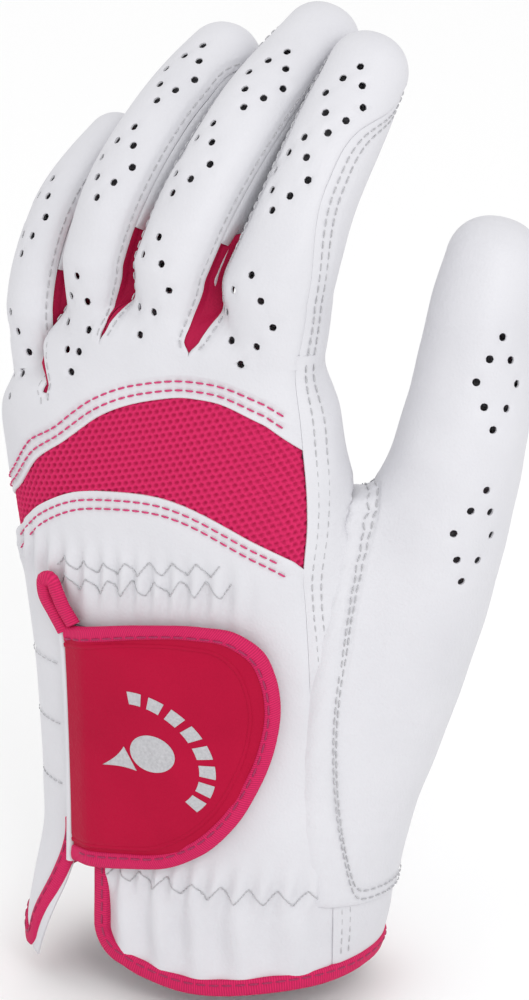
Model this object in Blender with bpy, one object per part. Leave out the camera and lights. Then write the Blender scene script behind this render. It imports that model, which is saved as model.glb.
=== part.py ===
"""Left-hand golf glove, shaped as if a relaxed hand filled it.

The glove is a set of thin panels laid over a smooth hand form. The form is the
union of a palm loft, four bent finger tubes and a thumb tube, all given as
distance functions in millimetres. Every panel is a closed sheet of leather,
knit or tape: rays are cast from the middle of the hand to two levels of the
form, the sheet's outer face and its inner face.

Row frame: +X to the thumb side, +Y to the palm side, +Z to the finger tips,
with the origin in the middle of the wrist opening.
"""
import bpy
import numpy as np

MM = 0.001

# ---- the hand form, in millimetres and degrees

PALM_LEVELS = (  # z, centre x, centre y, half width, half depth to the back, half depth to the palm
    (-8.0, 0.0, 0.0, 36.5, 25.5, 24.0),
    (20.0, -0.5, 0.0, 36.0, 24.5, 22.0),
    (45.0, -1.0, -1.0, 36.5, 23.5, 20.0),
    (70.0, -2.0, -2.5, 37.5, 22.0, 18.0),
    (95.0, -3.5, -5.0, 39.0, 20.0, 16.5),
    (122.0, -5.0, -7.5, 39.5, 17.0, 14.5),
    (152.0, -6.0, -10.0, 37.0, 11.0, 10.0),
)
PALM_TOP = 152.0
PALM_POWER = 2.3

DIGIT_NAMES = ("little", "ring", "middle", "index")
DIGITS = {  # base point; turn about Z; sideways lean; bend, half width and half depth at BEND_STOPS
    "little": dict(base=(-33.8, -7.0, 135.0), turn=-32, lean=-11.0, length=38.0,
                   bend=(10, 25, 41, 52), half_side=(8.1, 8.0, 7.6, 6.9), half_deep=(9.4, 8.6, 8.0, 7.0)),
    "ring": dict(base=(-17.3, -11.0, 149.0), turn=-18, lean=0.0, length=50.0,
                 bend=(19, 38, 50, 60), half_side=(8.6, 8.9, 8.8, 8.1), half_deep=(10.2, 9.8, 9.2, 8.2)),
    "middle": dict(base=(1.0, -13.5, 151.0), turn=-6, lean=12.5, length=57.5,
                   bend=(18, 38, 52, 60), half_side=(9.1, 9.4, 9.1, 8.4), half_deep=(10.4, 10.2, 9.5, 8.5)),
    "index": dict(base=(22.0, -10.0, 149.0), turn=5, lean=13.5, length=48.5,
                  bend=(12, 26, 37, 45), half_side=(11.2, 9.8, 9.2, 8.5), half_deep=(11.9, 10.4, 9.5, 8.7)),
}
BEND_STOPS = (0.0, 0.35, 0.7, 1.0)
DIGIT_POWER = 2.2
DIGIT_TAIL = 42.0
TAIL_TAPER = 0.075
THUMB_POINTS = (  # x, y, z, radius
    (22.0, 8.0, 10.0, 15.5), (25.0, 10.0, 32.0, 18.0), (31.5, 11.0, 53.0, 18.5), (41.5, 12.0, 77.0, 16.5),
    (50.0, 12.0, 100.0, 13.5), (54.3, 15.0, 122.0, 12.0), (55.6, 19.0, 143.6, 9.8), (55.9, 21.5, 150.0, 9.2),
)
LINE_SAMPLES = 31
FINGER_MELT = 5.0
THUMB_MELT = 14.0
WALL_REACH = 9.0
FINGER_CLEARANCE = 0.4

# ---- how the sheet of the palm is walked round: 0 to 4 across the back, 4 to 8 across the palm

COLUMN_EDGES = (0.0, 1.16, 1.9, 2.88, 4.0)
LOW_ANGLES = (-90, -52, -30, -16, -4, 10, 24, 46, 90, 130, 148, 164, 180, 196, 212, 230, 270)
HIGH_ANGLES = (-105, -32, -17, -18, -16, -6, -8.5, 7, 92, 185, 179.5, 174, 168, 162, 155, 148, 255)
LOW_SPREAD = (-0.62, -0.2, 0.2, 0.62)
SPREAD_START = 0.45
BACK_SPLITS = ((0.78, 1.0), (0.84, 0.95), (0.90, 0.995), (0.90, 1.0), (0.78, 1.0))
PALM_SPLITS = ((0.78, 1.0), (0.92, 1.0), (0.92, 1.0), (0.92, 1.0), (0.78, 1.0))

# ---- sheet levels over the form, outer and inner

LEATHER = (0.0, -1.0)
LINING_TAPE = (-1.4, -2.2)
LAPPED = (1.8, 0.8)
LOOP_PATCH = (1.2, 0.3)
HOOK_PATCH = (2.4, 1.6)
TAB = (3.9, 2.7)
TAB_EDGE = (4.6, 2.1)
EMBLEM = (4.7, 4.2)
BINDING = (1.0, -2.0)
GAP = 0.4
INSERT = (-1.4, -2.2)
INSERT_LAP = 1.5

# ---- seams, as perimeter coordinate against height, or height against perimeter coordinate

RADIAL_SEAM = ((-8, 3.62), (20, 3.6), (45, 3.5), (65, 3.45), (85, 3.53), (100, 3.7), (118, 3.76), (135, 3.74),
               (152, 3.7))
ULNAR_SEAM = 0.16
INSERT_TOP = ((0.16, 91.5), (0.6, 97.0), (1.0, 106.5), (1.4, 112.0), (1.9, 119.5), (2.4, 124.5), (2.9, 126.3),
              (3.3, 124.6), (3.55, 121.0), (3.8, 115.5))
INSERT_BOTTOM = ((0.16, 80.5), (0.5, 86.5), (1.0, 96.0), (1.4, 100.5), (1.9, 103.0), (2.5, 103.4), (2.9, 100.6),
                 (3.2, 96.6), (3.4, 93.6), (3.7, 87.5))
BAND_SEAM = 25.5
SLIT_TOP = 78.0
SLIT_RIGHT = 1.5
SLIT_LEFT = 1.22
HEM = ((0.0, -1.5), (1.5, -4.2), (2.4, -7.2), (3.2, -5.4), (4.0, -4.6), (6.0, -3.0), (8.0, -1.5))

SIDE_GAP = 0.02
BINDING_WIDTH = 3.0
UPPER_ELASTIC = (80.0, 86.0)
LOWER_ELASTIC = (13.0, 19.0)

# ---- the slots between the finger columns, in levels and perimeter units

FORK_LEVEL = 0.988
SLOT_START = 0.004
SLOT_INSET_LOW = 0.05
SLOT_INSET_HIGH = 0.2
SLOT_LAP = 0.015
SLOT_MIDDLE = 0.1
GUSSET_TOP = 0.96
GUSSET = (-2.7, -3.5)

# ---- the closing tab, as perimeter coordinate and height

TAB_TOP = ((1.3, 70.5), (1.7, 73.0), (2.12, 75.3), (2.65, 77.0), (2.91, 76.5), (3.07, 73.5), (3.16, 67.5), (3.19, 61.0))
TAB_BOTTOM = ((1.3, 17.5), (1.6, 18.5), (1.89, 19.9), (2.29, 22.3), (2.55, 26.4), (2.82, 33.7), (3.01, 42.5),
              (3.14, 51.9), (3.19, 61.0))
TAB_ROOT = 1.3
TAB_MIDDLE = 47.0
TAB_HALF_HEIGHT = 29.0
TAB_UNIT_MM = 21.0
TAB_EDGE_WIDTH = 4.2
HOOK_SPAN, HOOK_HEIGHTS = (1.8, 2.55), (37.0, 66.0)
LOOP_SPAN, LOOP_HEIGHTS = (1.75, 2.6), (31.0, 70.0)
EMBLEM_PLACE = (2.25, 48.0)
EMBLEM_RADIUS = (6.0, 9.0)

# ---- the digits: angles are from the middle of the finger's back, in degrees

DIGIT_GAP = 0.9
DIGIT_BACK_GAP = 1.8
FINGER_BACK_EDGE = 56.0
FINGER_FRONT_EDGE = 104.0
INDEX_SEAM = 50.0
LITTLE_SEAM = 110.0
EDGE_DRAW = 0.2
THUMB_CUT = 99.0
THUMB_GAP = 1.0
THUMB_OVERLAP = 6.0
THUMB_CUT_START = 24.0
THUMB_LAP = -9.0
THUMB_SEAM_CELL = 15


def smoothstep(x):
    x = np.clip(x, 0.0, 1.0)
    return x * x * (3.0 - 2.0 * x)


def unit(v):
    return v / np.linalg.norm(v, axis=-1, keepdims=True)


def curve(stops, values, x):
    """A smooth curve through values at stops, flat beyond the ends."""
    stops = np.asarray(stops, float)
    values = np.asarray(values, float)
    slope = np.gradient(values, stops, axis=0)
    x = np.clip(x, stops[0], stops[-1])
    i = np.clip(np.searchsorted(stops, x, side="right") - 1, 0, len(stops) - 2)
    step = stops[i + 1] - stops[i]
    r = (x - stops[i]) / step
    if values.ndim > 1:
        r = r[..., None]
        step = step[..., None]
    return ((1 + 2 * r) * (1 - r) ** 2 * values[i] + r * (1 - r) ** 2 * step * slope[i]
            + r * r * (3 - 2 * r) * values[i + 1] + r * r * (r - 1) * step * slope[i + 1])


def seam(points, x):
    stops, values = zip(*points)
    return curve(stops, values, x)


def smooth_min(a, b, melt):
    h = np.clip(0.5 + 0.5 * (b - a) / melt, 0.0, 1.0)
    return b * (1 - h) + a * h - melt * h * (1 - h)


class Tube:
    """A bent tube with an oval section and a round tip."""

    def __init__(self, points, along, side, half_side, half_deep):
        self.points = points
        self.along = along
        self.side = side
        self.back = np.cross(side, along)
        self.half_side = half_side
        self.half_deep = half_deep
        steps = np.linalg.norm(np.diff(points, axis=0), axis=1)
        self.length = np.concatenate([[0.0], np.cumsum(steps)])

    def at(self, s):
        """Centre and unit directions along, side and back at distance s from the low end."""
        def pick(a):
            return np.stack([np.interp(s, self.length, a[:, i]) for i in range(3)], axis=-1)
        return pick(self.points), unit(pick(self.along)), unit(pick(self.side)), unit(pick(self.back))

    def distance(self, p):
        nearest = np.full(len(p), np.inf)
        s = np.zeros(len(p))
        for i, step in enumerate(np.diff(self.length)):
            start = self.points[i]
            run = self.points[i + 1] - start
            r = np.clip((p - start) @ run / step ** 2, 0.0, 1.0)
            off = p - start - r[:, None] * run
            square = np.einsum("ij,ij->i", off, off)
            closer = square < nearest
            nearest = np.where(closer, square, nearest)
            s = np.where(closer, self.length[i] + r * step, s)
        centre, along, side, back = self.at(s)
        off = p - centre
        wide = np.interp(s, self.length, self.half_side)
        deep = np.interp(s, self.length, self.half_deep)
        parts = ((off * side).sum(1) / wide, (off * back).sum(1) / deep,
                 (off * along).sum(1) / np.minimum(wide, deep))
        ratio = sum(np.abs(a) ** DIGIT_POWER for a in parts) ** (1 / DIGIT_POWER)
        return np.linalg.norm(off, axis=1) * (1 - 1 / np.maximum(ratio, 1e-6))


def finger_tube(spec):
    """A finger's tube, with a thinning tail that runs down into the palm."""
    s = np.linspace(0, spec["length"], LINE_SAMPLES)
    bend = np.radians(curve(BEND_STOPS, spec["bend"], s / spec["length"]))
    turn, lean = np.radians(spec["turn"]), np.radians(spec["lean"])
    palmar = np.array([-np.sin(turn), np.cos(turn), 0.0])
    across = np.array([np.cos(turn), np.sin(turn), 0.0])
    up = np.array([0.0, 0.0, 1.0])
    rise = np.sin(lean) * across + np.cos(lean) * up
    along = np.cos(bend)[:, None] * rise + np.sin(bend)[:, None] * palmar
    side = np.repeat((np.cos(lean) * across - np.sin(lean) * up)[None], LINE_SAMPLES, axis=0)
    steps = (along[1:] + along[:-1]) / 2 * np.diff(s)[:, None]
    points = np.array(spec["base"]) + np.concatenate([np.zeros((1, 3)), np.cumsum(steps, axis=0)])
    half_side = curve(BEND_STOPS, spec["half_side"], s / spec["length"])
    half_deep = curve(BEND_STOPS, spec["half_deep"], s / spec["length"])

    tail = np.linspace(-DIGIT_TAIL, 0, 8)[:-1]
    toward_wrist = np.array([(spec["base"][0] + 4.0) * 0.0018, 0.0, 1.0])
    points = np.concatenate([points[0] + tail[:, None] * toward_wrist, points])
    along = np.concatenate([np.repeat(along[:1], len(tail), axis=0), along])
    side = np.concatenate([np.repeat(side[:1], len(tail), axis=0), side])
    half_side = np.concatenate([half_side[0] + TAIL_TAPER * tail, half_side])
    half_deep = np.concatenate([half_deep[0] + TAIL_TAPER * tail, half_deep])
    return Tube(points, along, side, half_side, half_deep)


def thumb_tube():
    spec = np.array(THUMB_POINTS)
    run = np.concatenate([[0.0], np.cumsum(np.linalg.norm(np.diff(spec[:, :3], axis=0), axis=1))])
    s = np.linspace(0, run[-1], LINE_SAMPLES)
    points = curve(run, spec[:, :3], s)
    radius = curve(run, spec[:, 3], s)
    along = unit(np.gradient(points, s, axis=0))
    side = unit(np.cross(np.array([0.0, 1.0, 0.0]), along))
    return Tube(points, along, side, radius, radius)


TUBES = [finger_tube(DIGITS[name]) for name in DIGIT_NAMES]
BASES = np.array([DIGITS[name]["base"] for name in DIGIT_NAMES])
TAIL_LENGTHS = [float(t.length[7]) for t in TUBES]
SIDES = np.array([t.side[7] for t in TUBES])
HALF_WIDTHS = np.array([DIGITS[name]["half_side"][0] for name in DIGIT_NAMES])
THUMB = thumb_tube()


def palm_distance(p):
    stops = np.array(PALM_LEVELS)
    cx, cy, wide, to_back, to_palm = np.moveaxis(curve(stops[:, 0], stops[:, 1:], p[:, 2]), -1, 0)
    x = p[:, 0] - cx
    y = p[:, 1] - cy
    deep = np.where(y < 0, to_back, to_palm)
    ratio = ((np.abs(x) / wide) ** PALM_POWER + (np.abs(y) / deep) ** PALM_POWER) ** (1 / PALM_POWER)
    inside = np.hypot(x, y) * (1 - 1 / np.maximum(ratio, 1e-6))
    return np.maximum(inside, p[:, 2] - PALM_TOP)


def hand_distance(p, column, parted):
    """Distance to the hand form as one finger's column sees it, its neighbours fading as it parts from them."""
    d = palm_distance(p) + 25.0 * parted ** 2
    for k, tube in enumerate(TUBES):
        d = smooth_min(d, tube.distance(p) + np.where(column == k, 0.0, 30.0 * parted), FINGER_MELT)
    d = smooth_min(d, THUMB.distance(p) + 25.0 * parted, THUMB_MELT)
    across = ((p - BASES[column]) * SIDES[column]).sum(1)
    beyond = np.maximum(np.where(column > 0, -across, -99.0), np.where(column < 3, across, -99.0))
    wall = HALF_WIDTHS[column] + WALL_REACH * (1 - parted) ** 2
    return np.where(parted > 0, np.maximum(d, beyond - wall), d)


def finger_distance(k, p):
    """Distance to one finger, pressed flat where a neighbour would touch it."""
    d = TUBES[k].distance(p)
    result = d
    for other in (k - 1, k + 1):
        if 0 <= other < 4:
            result = np.maximum(result, (d - TUBES[other].distance(p)) / 2 + FINGER_CLEARANCE)
    return result


def level_height(u, t):
    """Height of level t, 0 at the wrist and 1 at the finger forks."""
    fold = np.where(u <= 4, u, 8 - u)
    return t * np.interp(fold, (0.5, 1.5, 2.5, 3.5), BASES[:, 2])


def height_level(u, z):
    fold = np.where(u <= 4, u, 8 - u)
    return z / np.interp(fold, (0.5, 1.5, 2.5, 3.5), BASES[:, 2])


def column_axis(k, t):
    z = t * BASES[k, 2]
    stops = np.array(PALM_LEVELS)
    cx, cy, wide = np.moveaxis(curve(stops[:, 0], stops[:, 1:4], z), -1, 0)
    spread = smoothstep((t - SPREAD_START) / (1 - SPREAD_START))
    x = (cx + wide * LOW_SPREAD[k]) * (1 - spread) + BASES[k, 0] * spread
    y = cy * (1 - spread) + BASES[k, 1] * spread
    return np.stack([x, y, z], axis=-1)


def palm_rays(u, t):
    """Ray origins and directions at perimeter coordinate u (0 to 8, may run past) and level t (to 1)."""
    u = np.mod(u, 8.0)
    back = u <= 4
    fold = np.where(back, u, 8 - u)
    place = np.interp(fold, COLUMN_EDGES, range(5))
    column = np.clip(np.where(back, np.floor(place), np.ceil(place) - 1), 0, 3).astype(int)
    x = place - column

    axes = np.stack([column_axis(k, t) for k in range(4)], axis=0)

    def pick(index):
        return np.take_along_axis(axes, index[None, ..., None].repeat(3, -1), axis=0)[0]

    place = np.clip(fold - 0.5, 0, 3)
    low = np.clip(np.floor(place), 0, 2).astype(int)
    part = (place - low)[..., None]
    shared = pick(low) * (1 - part) + pick(low + 1) * part
    knots = np.arange(len(LOW_ANGLES)) * 0.5
    spread = smoothstep((t - SPREAD_START) / (1 - SPREAD_START))
    angle = np.radians(curve(knots, LOW_ANGLES, u) * (1 - spread) + curve(knots, HIGH_ANGLES, u) * spread)
    flat = np.stack([np.sin(angle), -np.cos(angle), np.zeros_like(angle)], axis=-1)

    splits = np.where(back[..., None, None], np.array(BACK_SPLITS), np.array(PALM_SPLITS))

    def parted_at(edge):
        pair = np.take_along_axis(splits, edge[..., None, None].repeat(2, -1), axis=-2)[..., 0, :]
        return smoothstep((t - pair[..., 0]) / (pair[..., 1] - pair[..., 0]))

    parted = parted_at(column) * (1 - x) + parted_at(column + 1) * x
    psi = np.radians(np.where(back, (2 * x - 1) * 90, 180 - (2 * x - 1) * 90))
    own = np.zeros(u.shape + (3,))
    for k, tube in enumerate(TUBES):
        centre, along, side, outward = tube.at(np.array(TAIL_LENGTHS[k]))
        mine = column == k
        own[mine] = np.cos(psi[mine])[:, None] * outward + np.sin(psi[mine])[:, None] * side
    blend = parted[..., None]
    origin = shared * (1 - blend) + pick(column) * blend
    return origin, unit(flat * (1 - blend) + own * blend), column, parted


def cast(origin, direction, distance, level, reach=80.0):
    """Where rays first leave the given level of a distance function."""
    shape = origin.shape
    o = origin.reshape(-1, 3)
    d = direction.reshape(-1, 3)
    low = np.zeros(len(o))
    high = np.full(len(o), reach)
    found = np.zeros(len(o), bool)
    r = np.full(len(o), 2.5)
    for _ in range(60):
        value = distance(o + d * r[:, None]) - level
        leaves = (value > 0) & ~found
        high = np.where(leaves, r, high)
        found |= leaves
        low = np.where(found, low, r)
        r = np.where(found, r, np.minimum(r + np.maximum(-0.7 * value, 0.8), reach))
        if found.all():
            break
    for _ in range(14):
        r = (low + high) / 2
        beyond = distance(o + d * r[:, None]) > level
        high = np.where(beyond, r, high)
        low = np.where(beyond, low, r)
    return (o + d * ((low + high) / 2)[:, None]).reshape(shape)


def palm_sheet(u, t, levels):
    """Outer and inner points of a sheet over the palm, for grids u and t."""
    origin, direction, column, parted = palm_rays(u, t)
    column = column.reshape(-1)
    parted = parted.reshape(-1)
    return [cast(origin, direction, lambda p: hand_distance(p, column, parted), level) for level in levels]


def tube_rays(tube, psi, s, s_end):
    """Rays out of a tube at angle psi from its back; s past s_end turns over the round tip."""
    centre, along, side, back = tube.at(np.minimum(s, s_end))
    over = np.clip(s - s_end, 0.0, np.pi / 2)[..., None]
    flat = np.cos(psi)[..., None] * back + np.sin(psi)[..., None] * side
    return centre, unit(np.cos(over) * flat + np.sin(over) * along)


# ---- solids from grids

def add_object(name, solid, material):
    points, faces = solid
    mesh = bpy.data.meshes.new(name)
    mesh.from_pydata((points * MM).tolist(), [], faces)
    mesh.validate()
    mesh.update()
    obj = bpy.data.objects.new(name, mesh)
    bpy.context.scene.collection.objects.link(obj)
    mesh.materials.append(material)
    mesh.shade_smooth()
    mesh.set_sharp_from_angle(angle=np.radians(40))


def cells_of(rows, cols, wrap=False):
    return np.ones((rows if wrap else rows - 1, cols - 1), bool)


def shrunk(points, keep, wrap, amount):
    """The grid with the outline of its kept cells drawn in by amount."""
    rows = points.shape[0]
    total = np.zeros_like(points)
    count = np.zeros(points.shape[:2])
    for i, j in np.argwhere(keep):
        n = (i + 1) % rows
        corners = ((i, j), (n, j), (n, j + 1), (i, j + 1))
        centre = sum(points[c] for c in corners) / 4
        for c in corners:
            total[c] += centre
            count[c] += 1
    edge = (count > 0) & (count < 4)
    aim = total[edge] / count[edge][:, None] - points[edge]
    moved = points.copy()
    moved[edge] += unit(aim) * amount
    return moved


def sheet_solid(patches, wrap=False, draw_in=0.0):
    """The closed solid of one or more patches, each (outer grid, inner grid, kept cells), welded where they meet."""
    names = {}
    points = []

    def vertex(p):
        key = tuple(np.round(p, 3))
        if key not in names:
            names[key] = len(points)
            points.append(p)
        return names[key]

    skin = []
    partner = {}
    for outer, inner, keep in patches:
        rows = outer.shape[0]
        if draw_in:
            outer, inner = (shrunk(g, keep, wrap, draw_in) for g in (outer, inner))
        for i, j in np.argwhere(keep):
            n = (i + 1) % rows
            corners = ((i, j), (n, j), (n, j + 1), (i, j + 1))
            quad = [vertex(outer[c]) for c in corners]
            for v, c in zip(quad, corners):
                partner[v] = vertex(inner[c])
            skin.append(quad)
    faces = skin + [[partner[v] for v in reversed(q)] for q in skin]
    edges = {(a, b) for q in skin for a, b in zip(q, q[1:] + q[:1])}
    faces += [[b, a, partner[a], partner[b]] for a, b in edges if (b, a) not in edges]
    points = np.array(points)
    volume = sum(np.dot(points[f[0]], np.cross(points[b], points[c])) for f in faces for b, c in zip(f[1:-1], f[2:]))
    if volume < 0:
        faces = [f[::-1] for f in faces]
    return points, faces


def grid(a0, a1, na, b0, b1, nb):
    return np.meshgrid(np.linspace(a0, a1, na), np.linspace(b0, b1, nb), indexing="ij")


def patch(u, t, levels, keep=None):
    outer, inner = palm_sheet(u, t, levels)
    return outer, inner, cells_of(*u.shape) if keep is None else keep


def value(edge, x):
    return edge(x) if callable(edge) else edge


def band(u0, u1, columns, low, high, rows, levels, keep=None):
    """A patch from u0 to u1 (a number or a function of height) and from low to high (the same, of u)."""
    x, r = grid(0.0, 1.0, columns + 1, 0.0, 1.0, rows + 1)
    u = u0 * (1 - x) + value(u1, 0.0) * x
    z = value(low, u) * (1 - r) + value(high, u) * r
    u = u0 * (1 - x) + value(u1, z) * x
    return patch(u, height_level(u, z), levels, keep)


# ---- materials

def material(name, colour, roughness, metallic=0.0):
    mat = bpy.data.materials.new(name)
    mat.use_nodes = True
    shader = mat.node_tree.nodes["Principled BSDF"]
    shader.inputs["Base Color"].default_value = (*colour, 1.0)
    shader.inputs["Roughness"].default_value = roughness
    shader.inputs["Metallic"].default_value = metallic
    return mat


WHITE = (0.86, 0.86, 0.88)
PINK = (0.62, 0.02, 0.09)
BRIGHT_PINK = (0.68, 0.03, 0.14)
DARK_PINK = (0.36, 0.008, 0.05)
SILVER = (0.6, 0.6, 0.62)


# ---- the palm body

def edge_at(edge, on_back):
    """Perimeter coordinate of the line between two finger columns."""
    return COLUMN_EDGES[edge] if on_back else 8.0 - COLUMN_EDGES[edge]


def slot_inset(edge, t, on_back):
    """How far the leather's edge stands back from a column's side, in perimeter units."""
    start, end = (BACK_SPLITS if on_back else PALM_SPLITS)[edge]
    if edge in (0, 4):
        return np.zeros_like(t)
    opened = np.clip((t - start - SLOT_START) / (end - start), 0.0, 1.0)
    return np.where(t > start + SLOT_START, SLOT_INSET_LOW + (SLOT_INSET_HIGH - SLOT_INSET_LOW) * opened, 0.0)


def column_patches(bottom, first, last, rows, columns, on_back):
    """One patch for each finger column from the height bottom(u) up to the forks."""
    r = np.linspace(0.0, 1.0, rows + 1)[None]
    patches = []
    for k in range(4):
        left, right = (k, k + 1) if on_back else (k + 1, k)
        a, b = (edge_at(edge, on_back) for edge in (left, right))
        middle = np.full_like(r, (a + b) / 2)
        base = height_level(middle, bottom(middle))
        t = base + (FORK_LEVEL - base) * r
        u0 = first(t) if left == (0 if on_back else 4) else a + slot_inset(left, t, on_back)
        u1 = last(t) if right == (4 if on_back else 0) else b - slot_inset(right, t, on_back)
        x = np.linspace(0.0, 1.0, columns + 1)[:, None]
        u = u0 * (1 - x) + u1 * x
        base = height_level(u, bottom(u))
        patches.append((u, base + (FORK_LEVEL - base) * r))
    return patches


def radial_seam(z):
    return seam(RADIAL_SEAM, z)


def build_palm_panel(leather):
    def first(t):
        return radial_seam(level_height(np.full_like(t, 3.5), t)) + SIDE_GAP

    patches = []
    for u, t in column_patches(lambda u: seam(HEM, np.mod(u, 8.0)), first,
                               lambda t: np.full_like(t, 8.0 + ULNAR_SEAM - SIDE_GAP), 24, 6, False):
        outer, inner = palm_sheet(u, t, LEATHER)
        flat = outer.reshape(-1, 3)
        over = (THUMB.distance(flat) < palm_distance(flat) - THUMB_OVERLAP) & (flat[:, 2] > THUMB_CUT_START)
        over = over.reshape(u.shape)
        cut = over[:-1, :-1] | over[1:, :-1] | over[:-1, 1:] | over[1:, 1:]
        patches.append((outer, inner, ~cut))
    add_object("palm_panel", sheet_solid(patches), leather)


def build_upper_back(leather):
    patches = column_patches(lambda u: seam(INSERT_TOP, u), lambda t: np.full_like(t, ULNAR_SEAM),
                             lambda t: radial_seam(level_height(np.full_like(t, 3.5), t)), 12, 6, True)
    add_object("upper_back_panel", sheet_solid([patch(u, t, LEATHER) for u, t in patches]), leather)


def build_gussets(knit):
    """A knit strip under the slot between each pair of finger columns."""
    for edge in (1, 2, 3):
        start = BACK_SPLITS[edge][0] - SLOT_START
        r = np.linspace(0.0, 1.0, 6)[None]
        t = start + (GUSSET_TOP - start) * r
        inset = slot_inset(edge, t, True) + SLOT_LAP
        x = np.array([1.0, 0.5, SLOT_MIDDLE])[:, None]
        middle = edge_at(edge, True)
        u = np.concatenate([middle - inset * x, middle + inset * x[::-1]])
        t = np.repeat(t, len(u), axis=0)
        name = f"gusset_{DIGIT_NAMES[edge - 1]}_{DIGIT_NAMES[edge]}"
        add_object(name, sheet_solid([patch(u, t, GUSSET)]), knit)


def build_lower_back(leather):
    """The back below the insert, cut away on the little-finger side for the slit."""
    left, right, rows_low, rows_high = 5, 9, 7, 4
    r = np.linspace(0.0, 1.0, right + 1)[1:]
    u, z = np.zeros((2, left + right + 1, rows_low + rows_high + 1))

    def spread(height):
        return np.concatenate([np.linspace(ULNAR_SEAM, SLIT_RIGHT, left + 1),
                               SLIT_RIGHT + (radial_seam(height) - SLIT_RIGHT) * r])

    for i, start in enumerate(spread(88.0)):
        z[i, :rows_low + 1] = np.linspace(BAND_SEAM + GAP, SLIT_TOP, rows_low + 1)
        z[i, rows_low:] = np.linspace(SLIT_TOP, seam(INSERT_BOTTOM, start), rows_high + 1)
    for i in range(len(u)):
        for j in range(len(u[i])):
            u[i, j] = spread(z[i, j])[i]
    keep = cells_of(*u.shape)
    keep[:left, :rows_low] = False
    add_object("lower_back_panel", sheet_solid([patch(u, height_level(u, z), LEATHER, keep)]), leather)


def build_cuff(leather, knit, tape):
    def hem(u):
        return seam(HEM, np.mod(u, 8.0))

    add_object("cuff_band", sheet_solid([band(SLIT_RIGHT, radial_seam, 12, hem, BAND_SEAM, 4, LEATHER)]), leather)
    add_object("ulnar_panel", sheet_solid([band(ULNAR_SEAM, SLIT_LEFT, 6, hem, SLIT_TOP - GAP, 8, LEATHER)]), leather)
    add_object("cuff_binding", sheet_solid([band(SLIT_RIGHT, 8.0 + SLIT_LEFT, 36, lambda u: hem(u) - BINDING_WIDTH,
                                                 lambda u: hem(u) - GAP, 1, BINDING)]), tape)
    keep = cells_of(4, 9)
    keep[1, :7] = False
    add_object("slit_binding", sheet_solid([band(SLIT_LEFT + SIDE_GAP, SLIT_RIGHT - SIDE_GAP, 3, hem,
                                                 SLIT_TOP - GAP, 8, BINDING, keep)]), tape)
    add_object("upper_elastic", sheet_solid([band(0.8, 3.2, 14, *UPPER_ELASTIC, 1, LINING_TAPE)]), knit)
    add_object("lower_elastic", sheet_solid([band(1.6, 3.5, 10, *LOWER_ELASTIC, 1, LINING_TAPE)]), knit)


def build_insert(knit):
    add_object("knuckle_insert", sheet_solid([band(ULNAR_SEAM, radial_seam, 18,
                                                   lambda u: seam(INSERT_BOTTOM, u) - INSERT_LAP,
                                                   lambda u: seam(INSERT_TOP, u) + INSERT_LAP, 5, INSERT)]), knit)


# ---- the closing tab

def tab_outline(inset):
    """Points (perimeter coordinate, height) along the tab's top, round end and bottom, scaled in by inset."""
    top = np.array(TAB_TOP)
    bottom = np.array(TAB_BOTTOM)[::-1]
    path = np.concatenate([top, bottom[1:]])
    scale = np.array([TAB_UNIT_MM, 1.0])
    run = np.concatenate([[0.0], np.cumsum(np.linalg.norm(np.diff(path * scale, axis=0), axis=1))])
    path = curve(run, path, np.linspace(0.0, run[-1], 33))
    u = TAB_ROOT + (path[:, 0] - TAB_ROOT) * (1 - inset / (TAB_TOP[-1][0] - TAB_ROOT) / TAB_UNIT_MM)
    z = TAB_MIDDLE + (path[:, 1] - TAB_MIDDLE) * (1 - inset / TAB_HALF_HEIGHT)
    return u, z


def build_tab(leather, tape, hook, loop, print_ink):
    def rim(inset):
        u, z = tab_outline(inset)
        return u, height_level(u, z)

    outside, inside = rim(0.0), rim(TAB_EDGE_WIDTH)
    u, t = (np.stack([outside[i], inside[i]], axis=1) for i in (0, 1))
    add_object("tab_binding", sheet_solid([patch(u, t, TAB_EDGE)]), tape)

    u_edge, z_edge = tab_outline(TAB_EDGE_WIDTH + GAP)
    half = len(u_edge) // 2
    u_top, z_top = u_edge[:half + 1], z_edge[:half + 1]
    u_low, z_low = u_edge[::-1][:half + 1], z_edge[::-1][:half + 1]
    r = np.linspace(0.0, 1.0, 7)[None]
    u = u_top[:-1, None] * r + u_low[:-1, None] * (1 - r)
    z = z_top[:-1, None] * r + z_low[:-1, None] * (1 - r)
    add_object("tab_panel", sheet_solid([patch(u, height_level(u, z), TAB)]), leather)

    add_object("hook_patch", sheet_solid([band(*HOOK_SPAN, 8, *HOOK_HEIGHTS, 4, HOOK_PATCH)]), hook)
    add_object("loop_patch", sheet_solid([band(*LOOP_SPAN, 9, *LOOP_HEIGHTS, 4, LOOP_PATCH)]), loop)

    angle, radius = grid(0.0, 2 * np.pi * 23 / 24, 24, EMBLEM_RADIUS[0], EMBLEM_RADIUS[1], 2)
    u = EMBLEM_PLACE[0] + radius * np.cos(angle) / TAB_UNIT_MM
    z = EMBLEM_PLACE[1] + radius * np.sin(angle)
    outer, inner = palm_sheet(u, height_level(u, z), EMBLEM)
    add_object("tab_emblem", sheet_solid([(outer, inner, cells_of(24, 2, True))], wrap=True), print_ink)


# ---- the digits

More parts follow.
